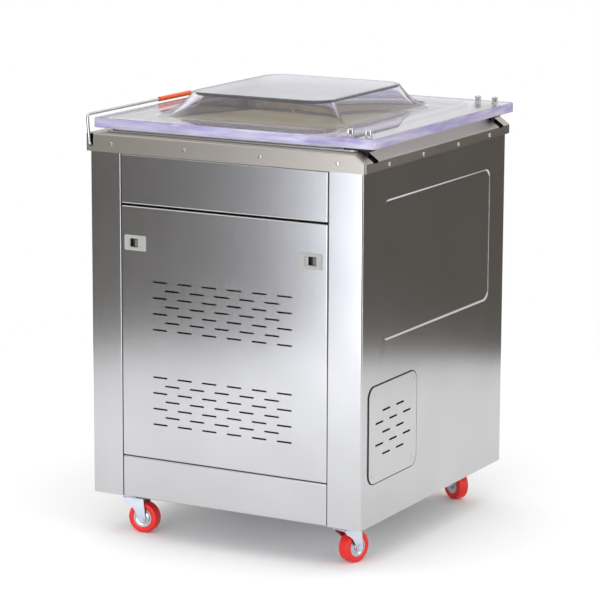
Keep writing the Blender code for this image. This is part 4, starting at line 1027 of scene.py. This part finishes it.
for name, (signX, signY, heading) in headings.items():
    label = name.replace("_", " ")
    stand = Matrix.Translation((signX * castor["x"], signY * castor["y"], 0))
    turn = stand @ Matrix.Rotation(heading, 4, "Z")

    bm = bmesh.new()
    edges = []
    plateHoles = []
    for z in (castor["plateTop"], plateLow):
        edges.append(addLoop(bm, (0, 0, z), *castor["plateHalf"], 0.006))
        plateHoles.append([addLoop(bm, (x, y, z), 0.0055, 0.0033, 0.0033, level, 16) for x, y in boltSpots])
        fillFlat(bm, [edges[-1]] + plateHoles[-1])
    skin(bm, edges)
    for first, second in zip(*plateHoles):
        skin(bm, [first, second])
    bm.transform(stand)
    plate = closedPiece(f"{label} castor plate", bm, zincPlate)
    easeEdges(plate, 0.0003)
    settle(plate, "cabinet", "castor_zinc", f"castor_plate_{name}")

    bm = bmesh.new()  # washer, hexagon head and shank of each bolt
    for x, y in boltSpots:
        addRod(bm, (x, y, plateLow), (x, y, plateLow - 0.0008), 0.0065)
        addRod(bm, (x, y, plateLow - 0.0008), (x, y, plateLow - 0.0040), 0.0050, 6)
        addRod(bm, (x, y, castor["plateTop"]), (x, y, plateLow - 0.0055), 0.0024, 16)
    bm.transform(stand)
    settle(closedPiece(f"{label} castor bolts", bm, turnedSteel), "cabinet", "castor_zinc")

    bm = bmesh.new()
    spinProfile(bm, swivelProfile, (0, 0, 0), (0, 0, 1), 48)
    outline = [(-0.016, -0.0145), (0.029, -0.0145), (0.0315, -0.030), (0.0335, axleZ + 0.004)]
    outline += arcPoints(axleX, axleZ, castor["axleEye"], [20 - step * 12.2 for step in range(19)])
    outline += [(0.0125, -0.045), (0.007, -0.036), (-0.001, -0.029), (-0.010, -0.024)]
    for side in (-1, 1):
        addPlate(bm, outline, side * forkHalf, -side * castor["forkSheet"])
    addRoundBox(bm, (-0.016, -forkHalf, -0.0165), (0.029, forkHalf, castor["crown"]), 0.0012)
    for side in (-1, 1):
        spinProfile(bm, [(0, 0.0220), (0.0030, 0.0220), (0.0036, 0.0212), (0.0036, 0.0170)],
                    (axleX, 0, axleZ), (0, side, 0), 24)
        for endY, radius, segments in ((0.0205, 0.0070, 6), (0.0178, 0.0078, 24)):  # nut and washer
            addRod(bm, (axleX, side * 0.0170, axleZ), (axleX, side * endY, axleZ), radius, segments)
    addRod(bm, (axleX, -forkHalf, axleZ), (axleX, forkHalf, axleZ), 0.0039)
    bm.transform(turn)
    fork = closedPiece(f"{label} castor fork", bm, zincPlate)
    easeEdges(fork, 0.0004)
    settle(fork, f"fork_{name}", "castor_zinc", f"castor_fork_{name}")

    bm = bmesh.new()
    spinProfile(bm, mirrored(hubProfile), (axleX, 0, axleZ), (0, 1, 0), 48, True)
    bm.transform(turn)
    hub = closedPiece(f"{label} castor hub", bm, machinedAluminium)
    settle(hub, f"wheel_{name}", "hub_aluminium", f"castor_hub_{name}")

    bm = bmesh.new()
    spinProfile(bm, mirrored(treadProfile), (axleX, 0, axleZ), (0, 1, 0), 72, True)
    bm.transform(turn)
    tyre = closedPiece(f"{label} castor tyre", bm, redTread, 50)
    settle(tyre, f"wheel_{name}", "tyre_red", f"castor_tyre_{name}")

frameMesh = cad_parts["base_frame"].data  # the base frame keeps its shape and takes the sheet's finish
frameMesh.materials.clear()
frameMesh.materials.append(brushedSheet)
print("castors made")

studio = {"floorRadius": 2.0, "floorCentre": (0.07, -0.27, 0), "azimuth": 28.687, "elevation": 11.396,
          "roll": 0.2243, "cameraPlace": (2.7603, -5.0535, 1.6191), "lens": 171.18, "sensor": 36,
          "horizonHeight": 0.14, "lowRoom": "67625c", "highRoom": "ffffff"}
bm = bmesh.new()
bmesh.ops.create_circle(bm, cap_ends=True, segments=96, radius=studio["floorRadius"],
                        matrix=Matrix.Translation(studio["floorCentre"]))
newObject("floor", bm, newMaterial("pale studio floor", "ffffff", Roughness=1.0))

# white all round, but polished metal sees a darker room below and at the horizon
world = bpy.data.worlds.new("studio")
bpy.context.scene.world = world
world.use_nodes = True
tree = world.node_tree
direction = addNode(tree, "ShaderNodeTexCoord").outputs["Generated"]
upward = addNode(tree, "ShaderNodeSeparateXYZ", inputs={"Vector": direction}).outputs["Z"]
height = addNode(tree, "ShaderNodeMapRange",
                 inputs={"Value": upward, "From Min": 0.0, "From Max": studio["horizonHeight"]})
room = addNode(tree, "ShaderNodeMix", {"data_type": "RGBA"},
               {"Factor": height.outputs["Result"], "A": linearColour(studio["lowRoom"]),
                "B": linearColour(studio["highRoom"])})
path = addNode(tree, "ShaderNodeLightPath")
reflected = addNode(tree, "ShaderNodeMath", {"operation": "SUBTRACT", "use_clamp": True},
                    {0: path.outputs["Is Glossy Ray"], 1: path.outputs["Is Transmission Ray"]})
seen = addNode(tree, "ShaderNodeMix", {"data_type": "RGBA"},
               {"Factor": reflected.outputs["Value"], "A": linearColour("ffffff"),
                "B": room.outputs["Result"]})
tree.links.new(seen.outputs["Result"], tree.nodes["Background"].inputs["Color"])


def addLight(name, place, target, width, height, power, colour="ffffff"):
    data = bpy.data.lights.new(name, "AREA")
    data.shape = "RECTANGLE"
    data.size = width
    data.size_y = height
    data.energy = power
    data.color = linearColour(colour)[:3]
    lamp = bpy.data.objects.new(name, data)
    lamp.location = place
    lamp.rotation_euler = (Vector(target) - Vector(place)).to_track_quat("-Z", "Y").to_euler()
    bpy.context.scene.collection.objects.link(lamp)


addLight("overhead softbox", (0.3, -0.6, 3.2), (0, 0, 0.4), 3.0, 3.0, 14)
addLight("door side softbox", (-0.02, -2.4, 0.48), (-0.02, 0, 0.48), 1.6, 1.1, 19, "f2f5ff")
addLight("hinge side strip", (2.3, -0.1, 0.45), (0.3, -0.1, 0.45), 0.6, 1.0, 6)

azimuth, elevation, roll = (math.radians(studio[key]) for key in ("azimuth", "elevation", "roll"))
back = Vector((math.sin(azimuth) * math.cos(elevation), -math.cos(azimuth) * math.cos(elevation),
               math.sin(elevation)))
right = Vector((0, 0, 1)).cross(back).normalized()
up = back.cross(right)
axisX = right * math.cos(roll) + up * math.sin(roll)
axisY = -right * math.sin(roll) + up * math.cos(roll)
cameraData = bpy.data.cameras.new("camera")
cameraData.lens = studio["lens"]
cameraData.sensor_width = studio["sensor"]
camera = bpy.data.objects.new("camera", cameraData)
bpy.context.scene.collection.objects.link(camera)
turned = Matrix((axisX, axisY, back)).transposed().to_4x4()
camera.matrix_world = Matrix.Translation(studio["cameraPlace"]) @ turned
bpy.context.scene.camera = camera
bpy.context.scene.view_settings.view_transform = "Standard"
print("studio made")

bpy.context.view_layer.update()
